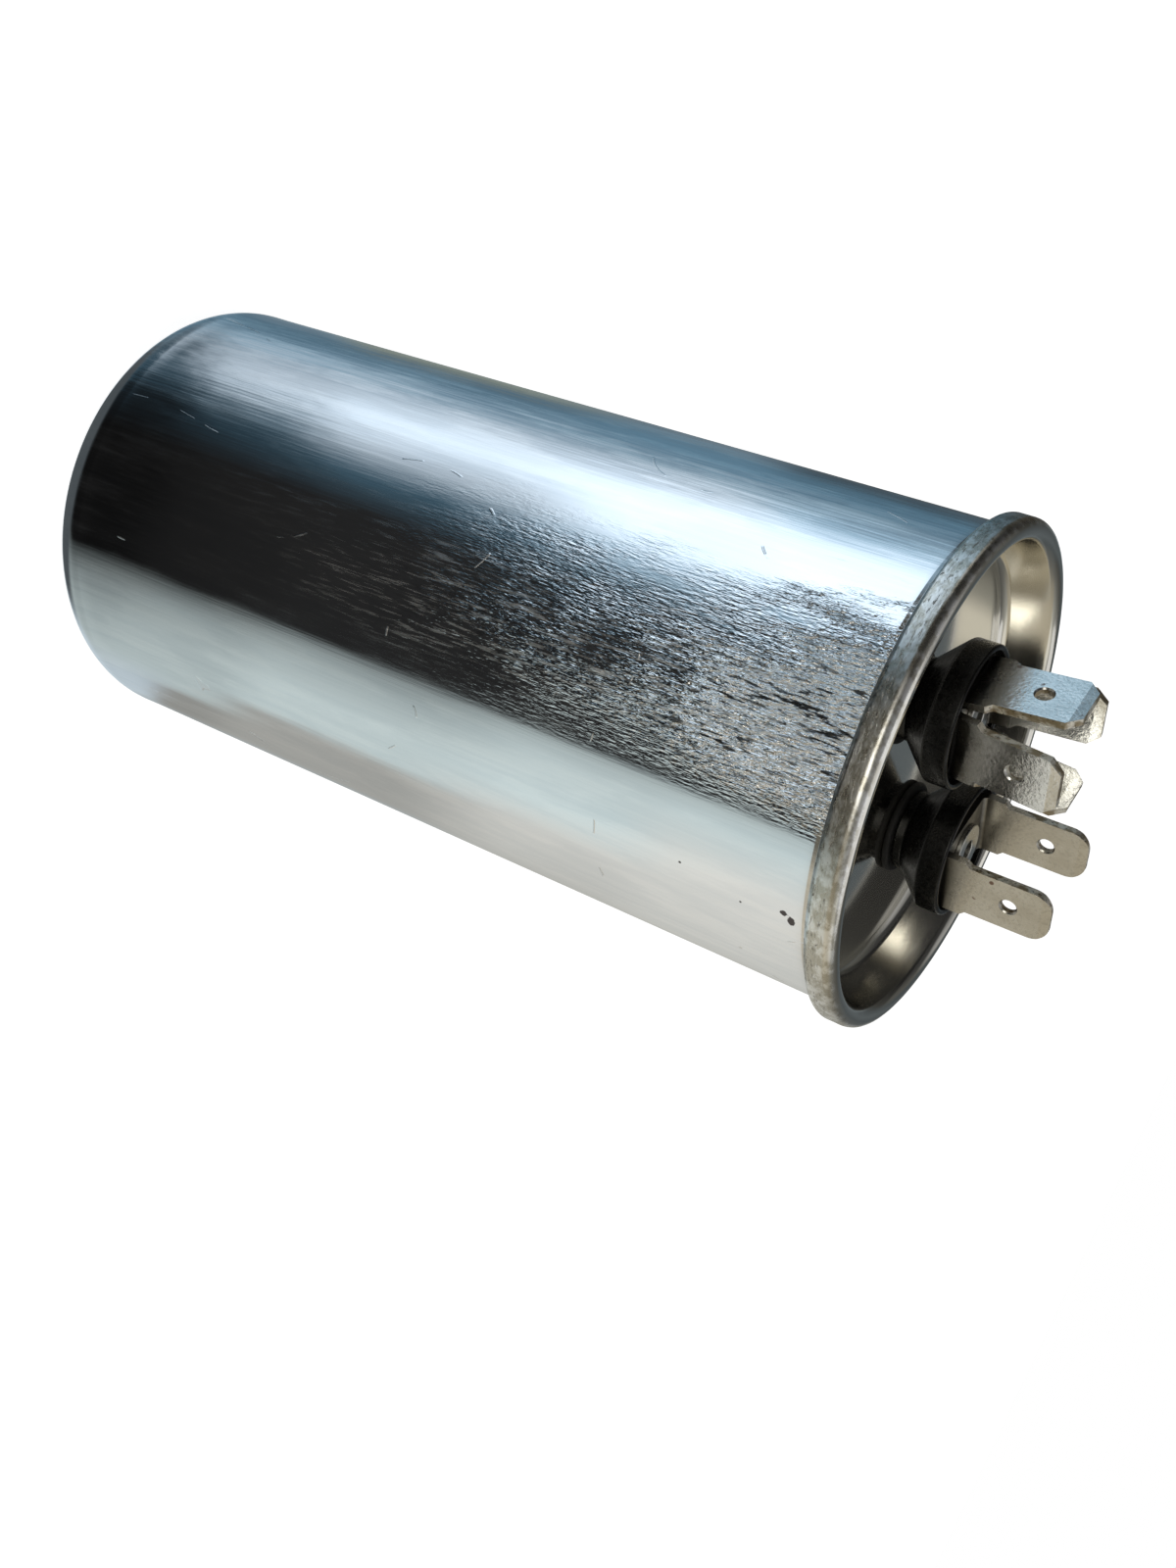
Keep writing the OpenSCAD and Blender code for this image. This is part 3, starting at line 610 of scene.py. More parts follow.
# %% Aluminium
ALUMINIUM = (0.97, 0.97, 0.98)
ALUMINIUM_STREAK = (0.90, 0.91, 0.93)
# A bluish grey for the clouds, which are partly a random tone and partly a painted reflection.
CLOUD_AND_BLUE_REFLECTION = (0.66, 0.70, 0.74)
PIT = (0.04, 0.04, 0.04)
NICK = (0.09, 0.08, 0.08)


def drawn_aluminium():
    """Drawn aluminium: streaks along Z, torn grains near the seam, a few scratches, and bluish
    clouds that are partly a painted reflection.
    """
    material, tree, shader, where = new_material("drawn_aluminium", Metallic=1.0)
    height = add(tree, "ShaderNodeSeparateXYZ", {0: where}).outputs["Z"]
    side = side_angle(tree, where)
    rubbed = rubbed_area(tree, where, side)
    torn = torn_area(tree, where, height, rubbed)
    shaded = between(tree, side, SHADED_SIDE)
    streaks = noise(tree, where, (0.9, 0.9, 34), detail=5, rough=0.66)
    scratch = scratches(tree, where)
    field = relief(tree, where, side, height, streaks, shaded, torn)
    field = calc(tree, "MULTIPLY_ADD", scratch, SCRATCH_H, field)

    cloud = noise(tree, where, (3.0, 3.0, 12), detail=4, rough=0.6, shift=(8, 3, 5))
    rough = spread(tree, streaks, 0.3, 0.7, 0.05, 0.11)
    rough = calc(tree, "MULTIPLY_ADD", spread(tree, cloud, 0.45, 0.7), 0.06, rough)
    flecks = noise(tree, where, (0.26, 0.26, 3.6), detail=3, rough=0.6, shift=(7, 7, 1))
    flecks = calc(tree, "MULTIPLY", spread(tree, flecks, 0.46, 0.64), rubbed)
    flecks = calc(tree, "MULTIPLY", flecks, spread(tree, height, 10 * MM, 66 * MM, 0.12, 1.0))
    rough = calc(tree, "MULTIPLY_ADD", flecks, 0.32, rough)
    rough = calc(tree, "MULTIPLY_ADD", scratch, 0.25, rough)

    tone = mix_colour(tree, spread(tree, streaks, 0.32, 0.62), ALUMINIUM_STREAK, ALUMINIUM)
    # Bluish grey clouds: partly a random tone, partly a painted reflection of the blue band, far
    # stronger on the shaded side.
    cloud_and_reflection_share = calc(tree, "MULTIPLY_ADD", shaded, 0.55, 0.22)
    cloud_and_painted_reflection = calc(tree, "MULTIPLY", spread(tree, cloud, 0.60, 0.42), cloud_and_reflection_share)
    tone = mix_colour(tree, cloud_and_painted_reflection, tone, CLOUD_AND_BLUE_REFLECTION)
    pits = noise(tree, where, (0.30, 0.30, 2.2), detail=3, rough=0.6, shift=(9, 4, 6))
    pits = calc(tree, "MULTIPLY", spread(tree, pits, 0.48, 0.40), torn)
    colour = mix_colour(tree, calc(tree, "MULTIPLY", pits, 0.95, clamp=True), tone, PIT)
    colour = mix_colour(tree, nick_mask(tree, where), colour, NICK)
    feed(tree, shader, Base_Color=colour, Roughness=rough, Normal=bump(tree, field, 1.0))
    return material


aluminium = drawn_aluminium()
tell(aluminium)


# %% [markdown]
# ## The can
# The can's sheet is one profile: closed end, rounded corner, wall, and the rim that is
# curled outwards and down into the seam. The sheet's middle line is drawn with filleted
# corners and then thickened. A Solidify modifier could do that too, but the closed end is
# thicker than the wall, and an outline drawn with numbers can follow that. Real cans are
# never quite round, and waves of a few thousandths of a millimetre make reflections swim.

# %% Sizes of the seam
seam_h = 3.2          # height of the double seam
neck_press = 0.05     # how far the seaming tool presses the wall in
neck_slope = 0.7      # height of the slope that leads there
seam_gap = 0.12       # space for the compound
lid_fit = 0.03        # clearance between the lid and the can's wall
neck_mid_r = can_r - neck_press - can_t / 2
hook_mid_r = can_r - neck_press + 2 * seam_gap + lid_t + can_t / 2
lid_in_r = can_r - neck_press - can_t - lid_fit - lid_t
crest_r = (seam_r - lid_in_r) / 2
crest_z = can_h - crest_r
seam_z = can_h - seam_h
foot_r = (seam_r - (can_r - neck_press + seam_gap)) / 2
foot_z = seam_z + foot_r
curl_mid_r = (hook_mid_r - neck_mid_r) / 2
print(f"seam from {seam_z:.2f} to {can_h:.2f} mm, crest radius {crest_r:.2f} mm")


# %% Can
def can_waves(a, z):
    """Slow waves: sines of the angle and the height, faded out at the seam and the foot."""
    fade = np.clip((seam_z - 4 - z) / 10, 0, 1) * np.clip((z - 5) / 10, 0, 1)
    slow = np.sin(3 * a + z / 17) + 0.6 * np.sin(7 * a - z / 9 + 1.3)
    quick = 0.35 * np.sin(13 * a + z / 5 + 0.7) + 0.25 * np.sin(19 * a - z / 3.3)
    return 0.006 * (slow + quick) * fade


wall_mid_r = can_r - can_t / 2
full_curl = 0.999 * curl_mid_r    # a hair less than a half circle, so its two arcs stay apart
can_path = refine(fillet([
    (0, can_base_t / 2, 0),
    (wall_mid_r, can_base_t / 2, can_corner_r - can_t / 2),
    (wall_mid_r, seam_z - neck_slope, 0.6),
    (neck_mid_r, seam_z, 0.3),
    (neck_mid_r, crest_z + curl_mid_r, full_curl),
    (hook_mid_r, crest_z + curl_mid_r, full_curl),
    (hook_mid_r, foot_z, 0),
]), longest=0.9)
# The sheet grows from the wall's thickness to the closed end's round the corner.
base_share = np.clip(1 - can_path[:, 1] / (can_corner_r + 2), 0, 1)
can_sheet_t = can_t + (can_base_t - can_t) * base_share
can = revolve("can_shell", thicken(can_path, can_sheet_t), aluminium, 256, waves=can_waves)
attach(can, "root")
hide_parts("can")
print("can faces:", len(can.data.polygons))

# %% [markdown]
# ## Tinplate
# The lid is tinned steel sheet. Its panel is satin with a slight orange peel. Where the
# rollers pressed the seam, the tin is mottled silver and warm grey, and the lower part of
# the seam's outside is scratched down to dark brown. The marks could be separate pieces
# with their own materials, but tin wears gradually. So masks by radius and height tell the
# outside of the seam from the polished lip inside it, and one material holds both.

# %% Tinplate
TIN = (0.80, 0.78, 0.72)
DULL_TIN = (0.56, 0.54, 0.48)
BRIGHT_TIN = (0.90, 0.90, 0.88)
WORN_TIN = (0.13, 0.10, 0.08)
OUTSIDE_RADII = (25.6, 26.1)    # millimetres over which the seam's outside begins
LIP_RADII = (25.7, 25.3)        # millimetres over which its crest ends, inwards


def tinplate():
    """Tinned steel: satin within the seam, mottled and scratched on the seam's outside."""
    material, tree, shader, where = new_material("tinplate", Metallic=1.0)
    parts = add(tree, "ShaderNodeSeparateXYZ", {0: where}).outputs
    flat = add(tree, "ShaderNodeCombineXYZ", {0: parts["X"], 1: parts["Y"], 2: 0.0}).outputs[0]
    radius = add(tree, "ShaderNodeVectorMath", {0: flat}, operation="LENGTH").outputs["Value"]
    outside = spread(tree, radius, *(r * MM for r in OUTSIDE_RADII))
    inside = spread(tree, radius, *(r * MM for r in LIP_RADII))
    low = spread(tree, parts["Z"], (can_h - 0.9) * MM, (can_h - 1.9) * MM)
    above_panel = spread(tree, parts["Z"], (panel_z + 0.3) * MM, (panel_z + 1.2) * MM)
    wall = calc(tree, "MULTIPLY", above_panel, inside)

    mottle = noise(tree, where, (1.6, 1.6, 0.9), detail=5, rough=0.65)
    peel = noise(tree, where, (0.45, 0.45, 0.45), detail=2)
    scratch = noise(tree, where, (1.1, 1.1, 0.16), detail=4, rough=0.7, distortion=0.6)
    scratch = calc(tree, "MULTIPLY", spread(tree, scratch, 0.56, 0.66, 0.0, 0.8),
                   calc(tree, "MULTIPLY", low, outside))
    pressed = mix_colour(tree, spread(tree, mottle, 0.42, 0.60), DULL_TIN, BRIGHT_TIN)
    colour = mix_colour(tree, outside, TIN, pressed)
    colour = mix_colour(tree, scratch, colour, WORN_TIN)

    rough = calc(tree, "MULTIPLY_ADD", outside, 0.10, 0.09)
    rough = calc(tree, "MULTIPLY_ADD", wall, 0.05, rough)
    rough = calc(tree, "MULTIPLY_ADD", mottle, calc(tree, "MULTIPLY", outside, 0.20), rough)
    rough = calc(tree, "MULTIPLY_ADD", scratch, 0.3, rough)
    field = calc(tree, "MULTIPLY", peel, 0.002)
    field = calc(tree, "MULTIPLY_ADD", mottle, calc(tree, "MULTIPLY", outside, 0.03), field)
    field = calc(tree, "MULTIPLY_ADD", scratch, -0.02, field)
    feed(tree, shader, Base_Color=colour, Roughness=rough, Normal=bump(tree, field, 1.0))
    return material


tin = tinplate()
tell(tin)

# %% [markdown]
# ## The lid
# The lid's sheet runs from its flat panel up a leaning wall, over the crest and down
# outside the can's rim, then back up inside the seam. Its middle line is a fine copy of
# the one in the frame. A grid of rings can't follow the two small round holes for the
# insulators, so a Boolean cuts them. It leaves long thin faces, which don't show on a panel
# that is flat.

# %% Lid sheet
lid_lean = math.radians(12)   # how far the wall leans outwards
lid_corner_r = 1.4
crest_x = seam_r - crest_r
foot_x = seam_r - foot_r
lid_bend_z = panel_z + lid_corner_r
both_r = crest_r + lid_corner_r
wall_run = (crest_z - lid_bend_z + both_r * math.sin(lid_lean)) / math.cos(lid_lean)
lid_bend_x = crest_x - both_r * math.cos(lid_lean) - wall_run * math.sin(lid_lean)
middle = lid_t / 2
lean_deg = math.degrees(lid_lean)
lid_path = refine(np.vstack([
    [[0, panel_z - middle]],
    arc(lid_bend_x, lid_bend_z, lid_corner_r + middle, 270, 360 - lean_deg),
    arc(crest_x, crest_z, crest_r - middle, 180 - lean_deg, 0),
    arc(foot_x, foot_z, foot_r - middle, 0, -180),
    [[foot_x - foot_r + middle, crest_z]],
]), longest=1.2)


def seam_marks(a, z):
    """Faint ripples that the seaming rollers leave: a sine round the rim and a slower one."""
    high = np.clip((z - panel_z - 3.0) / 1.5, 0, 1)
    return -0.008 * high * (1 + 0.6 * np.sin(41 * a) + 0.4 * np.sin(11 * a + 2))


lid = revolve("lid_sheet", thicken(lid_path, lid_t), tin, 288, waves=seam_marks)
print(f"lid panel {2 * lid_bend_x:.1f} mm wide")


# %% Holes in the lid
lid_hole_r = 3.0
terminal_x = {node: float(np.mean([b[0] for b in box_mm(node)]))
              for node in ("four_blade_insulator", "two_blade_insulator")}


def cut_away(piece, cutter):
    """Subtracts one closed mesh from another and removes the cutter."""
    hole = piece.modifiers.new("hole", "BOOLEAN")
    hole.object, hole.operation, hole.solver = cutter, "DIFFERENCE", "EXACT"
    graph = bpy.context.evaluated_depsgraph_get()
    cut = bpy.data.meshes.new_from_object(piece.evaluated_get(graph))
    piece.modifiers.clear()
    piece.data = cut
    bpy.data.objects.remove(cutter, do_unlink=True)


def drill(piece, x, radius, z_low, z_high):
    """Cuts a round upright hole at a place on the X axis."""
    bpy.ops.mesh.primitive_cylinder_add(
        vertices=64, radius=radius * MM, depth=(z_high - z_low) * MM,
        location=(x * MM, 0, (z_low + z_high) / 2 * MM))
    cut_away(piece, bpy.context.object)


for x in terminal_x.values():
    drill(lid, x, lid_hole_r, panel_z - 2, panel_z + 2)
clean(lid)
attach(lid, "root")
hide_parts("lid")
print("holes at x =", [round(x, 2) for x in terminal_x.values()], "mm")
print("lid faces:", len(lid.data.polygons))

# %% [markdown]
# ## Insulators and gaskets
# The insulators are moulded in black phenolic resin. The mould leaves a half gloss, and
# dust sits on it in small bright specks. A Voronoi texture places the specks, and a noise
# thins them out in patches. Their shape is a turned outline again, with every corner
# rounded, because a sharp black edge would show no line of light. The rubber gaskets below
# them are rounded nearly to half circles, as a squeezed gasket bulges.

# %% Phenolic and rubber
BLACK_RESIN = (0.003, 0.003, 0.0028)
RESIN_DUST = (0.20, 0.18, 0.15)
RUBBER = (0.006, 0.006, 0.006)
DUSTY_RUBBER = (0.020, 0.019, 0.018)


def black_phenolic():
    """Black moulded resin: half glossy, with dust specks that gather in patches."""
    material, tree, shader, where = new_material("black_phenolic", IOR=1.40)
    cells = add(tree, "ShaderNodeTexVoronoi", {"Vector": where, "Scale": 1 / (0.42 * MM)})
    patch = noise(tree, where, (3.0, 3.0, 3.0), detail=2)
    speck_size = spread(tree, patch, 0.48, 0.7, 0.0, 0.12)
    speck = calc(tree, "LESS_THAN", cells.outputs["Distance"], speck_size)
    lumps = noise(tree, where, (0.5, 0.5, 0.5), detail=3)
    colour = mix_colour(tree, calc(tree, "MULTIPLY", speck, 0.4), BLACK_RESIN, RESIN_DUST)
    rough = spread(tree, lumps, 0.3, 0.7, 0.20, 0.34)
    rough = calc(tree, "MULTIPLY_ADD", speck, 0.3, rough)
    feed(tree, shader, Base_Color=colour, Roughness=rough, Normal=bump(tree, lumps, 0.012))
    return material


def gasket_rubber():
    """Black rubber, dull, a little greyer where dust clings to it."""
    material, tree, shader, where = new_material("gasket_rubber", IOR=1.5)
    dust = noise(tree, where, (0.8, 0.8, 0.8), detail=4)
    colour = mix_colour(tree, spread(tree, dust, 0.45, 0.75), RUBBER, DUSTY_RUBBER)
    feed(tree, shader, Base_Color=colour, Roughness=spread(tree, dust, 0.3, 0.7, 0.55, 0.75))
    return material


phenolic = black_phenolic()
rubber = gasket_rubber()
tell(phenolic)
tell(rubber)

# %% Sizes of the insulators
shank_r = 1.65        # the rivet's hole
spigot_r = 2.9        # the part that goes through the lid
spigot_h = 2.2        # how far it reaches below the panel's top
foot_of_cone_r = 4.2
foot_of_cone_h = 1.0
gasket_r = 4.9
gasket_t = 0.8
cone_h = 3.0
disc_h = 2.5
recess_r = 6.582      # the round recess that the bracket sits in
recess_depth = 1.2
bush_r = recess_r + 0.6
gasket_top = panel_z + gasket_t
cone_z = gasket_top + foot_of_cone_h
edge_z = cone_z + cone_h
bush_top = edge_z + disc_h
bracket_z = bush_top - recess_depth
spigot_z = panel_z - spigot_h
print(f"insulators reach up to {bush_top:.2f} mm, brackets start at {bracket_z:.2f} mm")


# %% Insulators and gaskets
def closed_fillet(corners, step=10.0):
    """Rounds every corner of a closed outline, which starts midway along its first side."""
    first, second = np.array(corners[0][:2]), np.array(corners[1][:2])
    start = (*((first + second) / 2), 0)
    ring = [start, *corners[1:], corners[0], start]
    return fillet(ring, step)[:-1]


bush_outline = closed_fillet([
    (shank_r, spigot_z, 0.05), (spigot_r, spigot_z, 0.2), (spigot_r, gasket_top, 0.02),
    (foot_of_cone_r, gasket_top, 0.15), (foot_of_cone_r, cone_z, 0.4), (bush_r, edge_z, 0.5),
    (bush_r, bush_top, 0.28), (recess_r, bush_top, 0.28), (recess_r, bracket_z, 0.1),
    (shank_r, bracket_z, 0.1),
])
bulge_r = 0.98 * gasket_t / 2
gasket_outline = closed_fillet([
    (lid_hole_r, panel_z, 0.05), (gasket_r, panel_z, bulge_r), (gasket_r, gasket_top, bulge_r),
    (lid_hole_r, gasket_top, 0.05),
])
for node, x in terminal_x.items():
    bush = revolve(node.replace("insulator", "bush"), bush_outline, phenolic, 128, True, (x, 0))
    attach(bush, "root")
    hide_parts(node)
    seal = revolve(node.replace("insulator", "rubber"), gasket_outline, rubber, 96, True, (x, 0))
    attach(seal, "root")
    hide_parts(node.replace("insulator", "gasket"))
    print(node, len(bush.data.polygons), "faces, its gasket", len(seal.data.polygons))

# %% [markdown]
# ## Terminals
# Each bracket is one folded strip of tinned brass. The press leaves a fine grain like
# orange peel on its faces, and bright rough lines where it sheared the edges. The blades
# are painted darker near the bracket's base as painted shade, and carry a few brown spots.
# The grain is a bump with painted shade in its hollows, and the painted shade at the base
# is a mask by height, broken up by a noise.

# %% Brass
def tinned_brass(name, dull, bright, smooth, rough_end, root_shade_high, peel_depth):
    """Tinned sheet brass with an orange-peel grain, painted shade in the grain's hollows and near
    its base, and a few spots.

    The painted shade at the base fades out over the given height in millimetres above the
    insulator.
    """
    material, tree, shader, where = new_material(name, Metallic=1.0)
    peel = noise(tree, where, (0.36, 0.36, 0.36), detail=3, rough=0.6)
    cloud = noise(tree, where, (2.6, 2.6, 3.4), detail=4)
    height = add(tree, "ShaderNodeSeparateXYZ", {0: where}).outputs["Z"]
    # Painted shade near the bracket's base, where the blades meet, broken up by the cloud.
    base = spread(tree, height, (bracket_z + root_shade_high) * MM, (bracket_z + 0.8) * MM)
    root_shade = calc(tree, "MULTIPLY", base, spread(tree, cloud, 0.38, 0.66, 0.7, 0.98))
    colour = mix_colour(tree, spread(tree, cloud, 0.3, 0.7), dull, bright)
    # The grain's hollows are painted darker: painted shade in the recesses of the bump.
    hollow_shade = spread(tree, peel, 0.50, 0.36, 0.0, 0.5)
    colour = mix_colour(tree, hollow_shade, colour, tuple(0.80 * c for c in dull))
    colour = mix_colour(tree, root_shade, colour, (0.11, 0.10, 0.08))
    spots = add(tree, "ShaderNodeTexVoronoi", {"Vector": where, "Scale": 1 / (1.9 * MM)})
    spot = spread(tree, spots.outputs["Distance"], 0.16, 0.11)
    spot = calc(tree, "MULTIPLY", spot, spread(tree, cloud, 0.54, 0.60, 0.0, 0.85))
    colour = mix_colour(tree, spot, colour, (0.14, 0.06, 0.035))
    rough = spread(tree, cloud, 0.3, 0.7, smooth, rough_end)
    rough = calc(tree, "MULTIPLY_ADD", root_shade, 0.15, rough)
    feed(tree, shader, Base_Color=colour, Roughness=rough, Normal=bump(tree, peel, peel_depth))
    return material


def sheared_brass():
    """The torn face where the press sheared the sheet: bright, rough and striped."""
    material, tree, shader, where = new_material("sheared_brass", Metallic=1.0)
    torn = noise(tree, where, (0.30, 0.30, 0.45), detail=4, rough=0.7)
    patch = noise(tree, where, (1.2, 1.2, 1.6), detail=3, shift=(3, 3, 3))
    patch = spread(tree, patch, 0.44, 0.58)
    colour = mix_colour(tree, patch, (0.42, 0.35, 0.24), (0.96, 0.92, 0.82))
    colour = mix_colour(tree, spread(tree, torn, 0.44, 0.34), colour, (0.12, 0.10, 0.07))
    feed(tree, shader, Base_Color=colour, Roughness=spread(tree, torn, 0.3, 0.7, 0.28, 0.5),
         Normal=bump(tree, torn, 0.10))
    return material


bright_brass = tinned_brass("tinned_brass", (0.70, 0.70, 0.68), (0.88, 0.88, 0.86),
                            smooth=0.12, rough_end=0.18, root_shade_high=6.0, peel_depth=0.026)
dull_brass = tinned_brass("dull_brass", (0.60, 0.58, 0.53), (0.70, 0.68, 0.63),
                          smooth=0.22, rough_end=0.30, root_shade_high=2.6, peel_depth=0.010)
sheared = sheared_brass()
tell(bright_brass)
tell(dull_brass)
tell(sheared)


# %% Plated metal
def plated(name, colour, rough_low, rough_high, grain=0.4, depth=0.01):
    """A plain metal with a slight cloud in its roughness and a fine grain."""
    material, tree, shader, where = new_material(name, Metallic=1.0)
    cloud = noise(tree, where, (grain * 4, grain * 4, grain * 4), detail=3)
    fine = noise(tree, where, (grain, grain, grain), detail=2)
    darker = tuple(0.8 * c for c in colour)
    tone = mix_colour(tree, spread(tree, cloud, 0.3, 0.7), darker, colour)
    rough = spread(tree, cloud, 0.3, 0.7, rough_low, rough_high)
    feed(tree, shader, Base_Color=tone, Roughness=rough, Normal=bump(tree, fine, depth))
    return material


rivet_plate = plated("plated_rivet", (0.78, 0.77, 0.73), 0.22, 0.36)
tell(rivet_plate)

# %% [markdown]
# ## Folded brackets and rivets
# Their shape comes from the frame, because a fold has bends, shoulders and holes that would
# only be drawn a second time. A merged copy of each gets small bevels, so that its edges
# catch the light. Long narrow faces that stand square to the sheet are its sheared edges,
# and they get the torn finish. The tips of the real blades are worn: the dull pair is
# rounded by a cutter, and the bright four are made blunter by moving their edges.

# %% Sheared edges
blade_w = 6.3
TERMINAL_TURN = 5.0   # how far the brackets are turned about the can's axis, in degrees
BROAD_AREA = 6.0      # a broad face of the sheet is larger than this, in square millimetres,
BROAD_WIDTH = 1.4     # and wider than this
EDGE_WIDTH = 1.1      # a sheared edge is narrower than this


def face_width(face):
    """Twice the area through the perimeter, which is nearly a long face's width."""
    return 2 * face.calc_area() / face.calc_perimeter()


def mark_sheared(form):
    """Gives the second material to narrow faces that stand square to the sheet beside them."""
    broad = [f for f in form.faces if f.calc_area() > BROAD_AREA * MM * MM
             and face_width(f) > BROAD_WIDTH * MM]
    marked = 0
    for face in form.faces:
        place = face.calc_center_median()
        if face_width(face) > EDGE_WIDTH * MM or place.z < (bracket_z + 2.2) * MM:
            continue
        sheet = min(broad, key=lambda f: (f.calc_center_median() - place).length)
        if abs(face.normal.dot(sheet.normal)) < 0.5:
            face.material_index = 1
            marked += 1
    print("sheared faces:", marked)


# %% Round tips for the dull pair
def tip_cutter(centre, turn, half_width, top, radius):
    """Two upright prisms that leave an arc at the corners of the tips.

    Along the blades' width u and the height z, each arc is a quarter circle whose centre
    lies one radius inside the corner: u = w - r + r cos t, z = top - r + r sin t.
    """
    along = np.array([math.cos(turn), math.sin(turn), 0])
    across = np.array([-math.sin(turn), math.cos(turn), 0])
    swing = np.radians(np.linspace(90, 0, 10))
    over, reach = 0.5, 9      # how far the prisms stand out of the blades and run across them
    u = np.concatenate([half_width - radius + radius * np.cos(swing),
                        [half_width + over, half_width + over, half_width - radius]])
    z = np.concatenate([top - radius + radius * np.sin(swing),
                        [top - radius, top + over, top + over]])
    count = len(u)
    verts, faces = [], []
    for side in (-1, 1):
        first = len(verts)
        for v in (-reach, reach):
            verts.extend(np.array(centre) + side * a * along + v * across + [0, 0, b]
                         for a, b in zip(u, z))
        faces.append(list(range(first, first + count)))
        faces.append(list(range(first + 2 * count - 1, first + count - 1, -1)))
        faces.extend([first + k, first + (k + 1) % count, first + count + (k + 1) % count,
                      first + count + k] for k in range(count))
    mesh = bpy.data.meshes.new("tip_cutter")
    mesh.from_pydata([tuple(v * MM) for v in verts], [], faces)
    cutter = bpy.data.objects.new("tip_cutter", mesh)
    bpy.context.scene.collection.objects.link(cutter)
    clean(cutter)
    return cutter


# %% Blunt tips for the bright four
BRACKET_LEAN = math.radians(6)    # how far the four blades lean outwards
BLADE_START = 3.2                 # how far out from the bracket's middle they begin
BLADE_REACH = 6                   # how far down from the top a blade's points are taken
TIP_REACH = 1.5                   # how far down from the top the tips' edges are looked for
TIP_EDGES = [(0.2, 0.10), (0.6, -0.17)]    # depth of each edge, and its way outwards


def blunt_tips(form, centre):
    """Moves the tips' edges of the four leaning blades nearer to their faces.

    The outward normal of a blade at azimuth t with lean l is (cos t cos l, sin t cos l,
    -sin l). A tip's edges lie a fifth of a millimetre inside the blade's two faces. The
    outer one moves half that way back, and the inner one nearly all of it.
    """
    top = max(v.co.z for v in form.verts)
    moved = 0
    for quarter in range(4):
        turn = math.radians(quarter * 90 - TERMINAL_TURN)
        lean = math.cos(BRACKET_LEAN)
        out = Vector((math.cos(turn) * lean, math.sin(turn) * lean, -math.sin(BRACKET_LEAN)))
        side = Vector((-math.sin(turn), math.cos(turn), 0))
        blade = [v for v in form.verts
                 if (v.co - centre).dot(out) > BLADE_START * MM
                 and v.co.z > top - BLADE_REACH * MM
                 and abs((v.co - centre).dot(side)) < (blade_w / 2 + 0.1) * MM]
        face = max((v.co - centre).dot(out) for v in blade)
        for v in (v for v in blade if v.co.z > top - TIP_REACH * MM):
            depth = (face - (v.co - centre).dot(out)) / MM
            for edge_depth, move in TIP_EDGES:
                if abs(depth - edge_depth) < 0.04:
                    v.co += out * move * MM
                    moved += 1
                    break
    print("tip points moved:", moved)


# %% A bevelled copy of a node
SAME_POINT = 0.002    # points of the copy nearer than this are merged, in millimetres
SAME_PLANE = 0.6      # faces that turn less than this are joined, in degrees
SHARP_TURN = 32       # edges that turn more than this stay sharp
BEVEL_TURN = 38       # edges that turn more than this get a bevel


def merged_form(mesh):
    """A copy's triangles as merged faces that point outwards."""
    form = bmesh.new()
    form.from_mesh(mesh)
    bmesh.ops.remove_doubles(form, verts=form.verts, dist=SAME_POINT * MM)
    bmesh.ops.dissolve_limit(
        form, angle_limit=math.radians(SAME_PLANE), verts=form.verts, edges=form.edges)
    bmesh.ops.recalc_face_normals(form, faces=form.faces)
    for face in form.faces:
        face.material_index = 0
    return form


def soften(form):
    """Shades bends smooth. High on the blades even a slight turn stays an edge."""
    for edge in form.edges:
        high = min(v.co.z for v in edge.verts) > (bracket_z + 3.2) * MM
        turn = math.degrees(edge.calc_face_angle(0))
        edge.smooth = turn < (5 if high and turn < 30 else SHARP_TURN)


def bevelled_copy(node, name, finish, width, cutter=None, blunt=False):
    """A merged copy of a CAD node with a small bevel, which stands for the node."""
    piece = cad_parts[node].copy()
    piece.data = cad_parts[node].data.copy()
    piece.name = name
    piece.data.materials.clear()
    for material in finish:
        piece.data.materials.append(material)
    bpy.context.scene.collection.objects.link(piece)
    if cutter:
        clean(piece)
        cut_away(piece, cutter)
    form = merged_form(piece.data)
    if blunt:
        blunt_tips(form, Vector((terminal_x["four_blade_insulator"], 0, 109)) * MM)
    if len(finish) > 1:
        mark_sheared(form)
    soften(form)
    form.to_mesh(piece.data)
    form.free()
    piece.data.shade_smooth()
    bevel = piece.modifiers.new("edges", "BEVEL")
    bevel.width, bevel.segments = width * MM, 2
    bevel.limit_method, bevel.angle_limit = "ANGLE", math.radians(BEVEL_TURN)
    bevel.use_clamp_overlap = True
    flat = piece.modifiers.new("flat_faces", "WEIGHTED_NORMAL")
    flat.keep_sharp, flat.weight = True, 100
    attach(piece, "root")
    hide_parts(node)


# %% Brackets and rivets
bracket_bevel = 0.07
rivet_bevel = 0.08
tip_r = 2.05
bevelled_copy("four_blade_terminal", "four_blade_bracket", (bright_brass, sheared),
              bracket_bevel, blunt=True)
two_blade_low, two_blade_high = box_mm("two_blade_terminal")
two_blade_centre = (*((two_blade_low + two_blade_high) / 2)[:2], 0.0)
tips = tip_cutter(two_blade_centre, math.radians(-TERMINAL_TURN), blade_w / 2,
                  two_blade_high[2], tip_r)
bevelled_copy("two_blade_terminal", "two_blade_bracket", (dull_brass, sheared),
              bracket_bevel, tips)
for node in ("four_blade_rivet", "two_blade_rivet"):
    bevelled_copy(node, node + "_shank", (rivet_plate,), rivet_bevel)

# %% [markdown]
# ## Pieces inside the can
# Nothing inside shows, yet each piece gets its own finish, so that the part can be opened
# or cut open for a view. The winding shows its turns as fine lines, the sprayed metal is
# rough and pitted, and the plastic pieces have a soft sheen. A few small functions make all
# of these finishes, since most differ only in their colour and gloss.

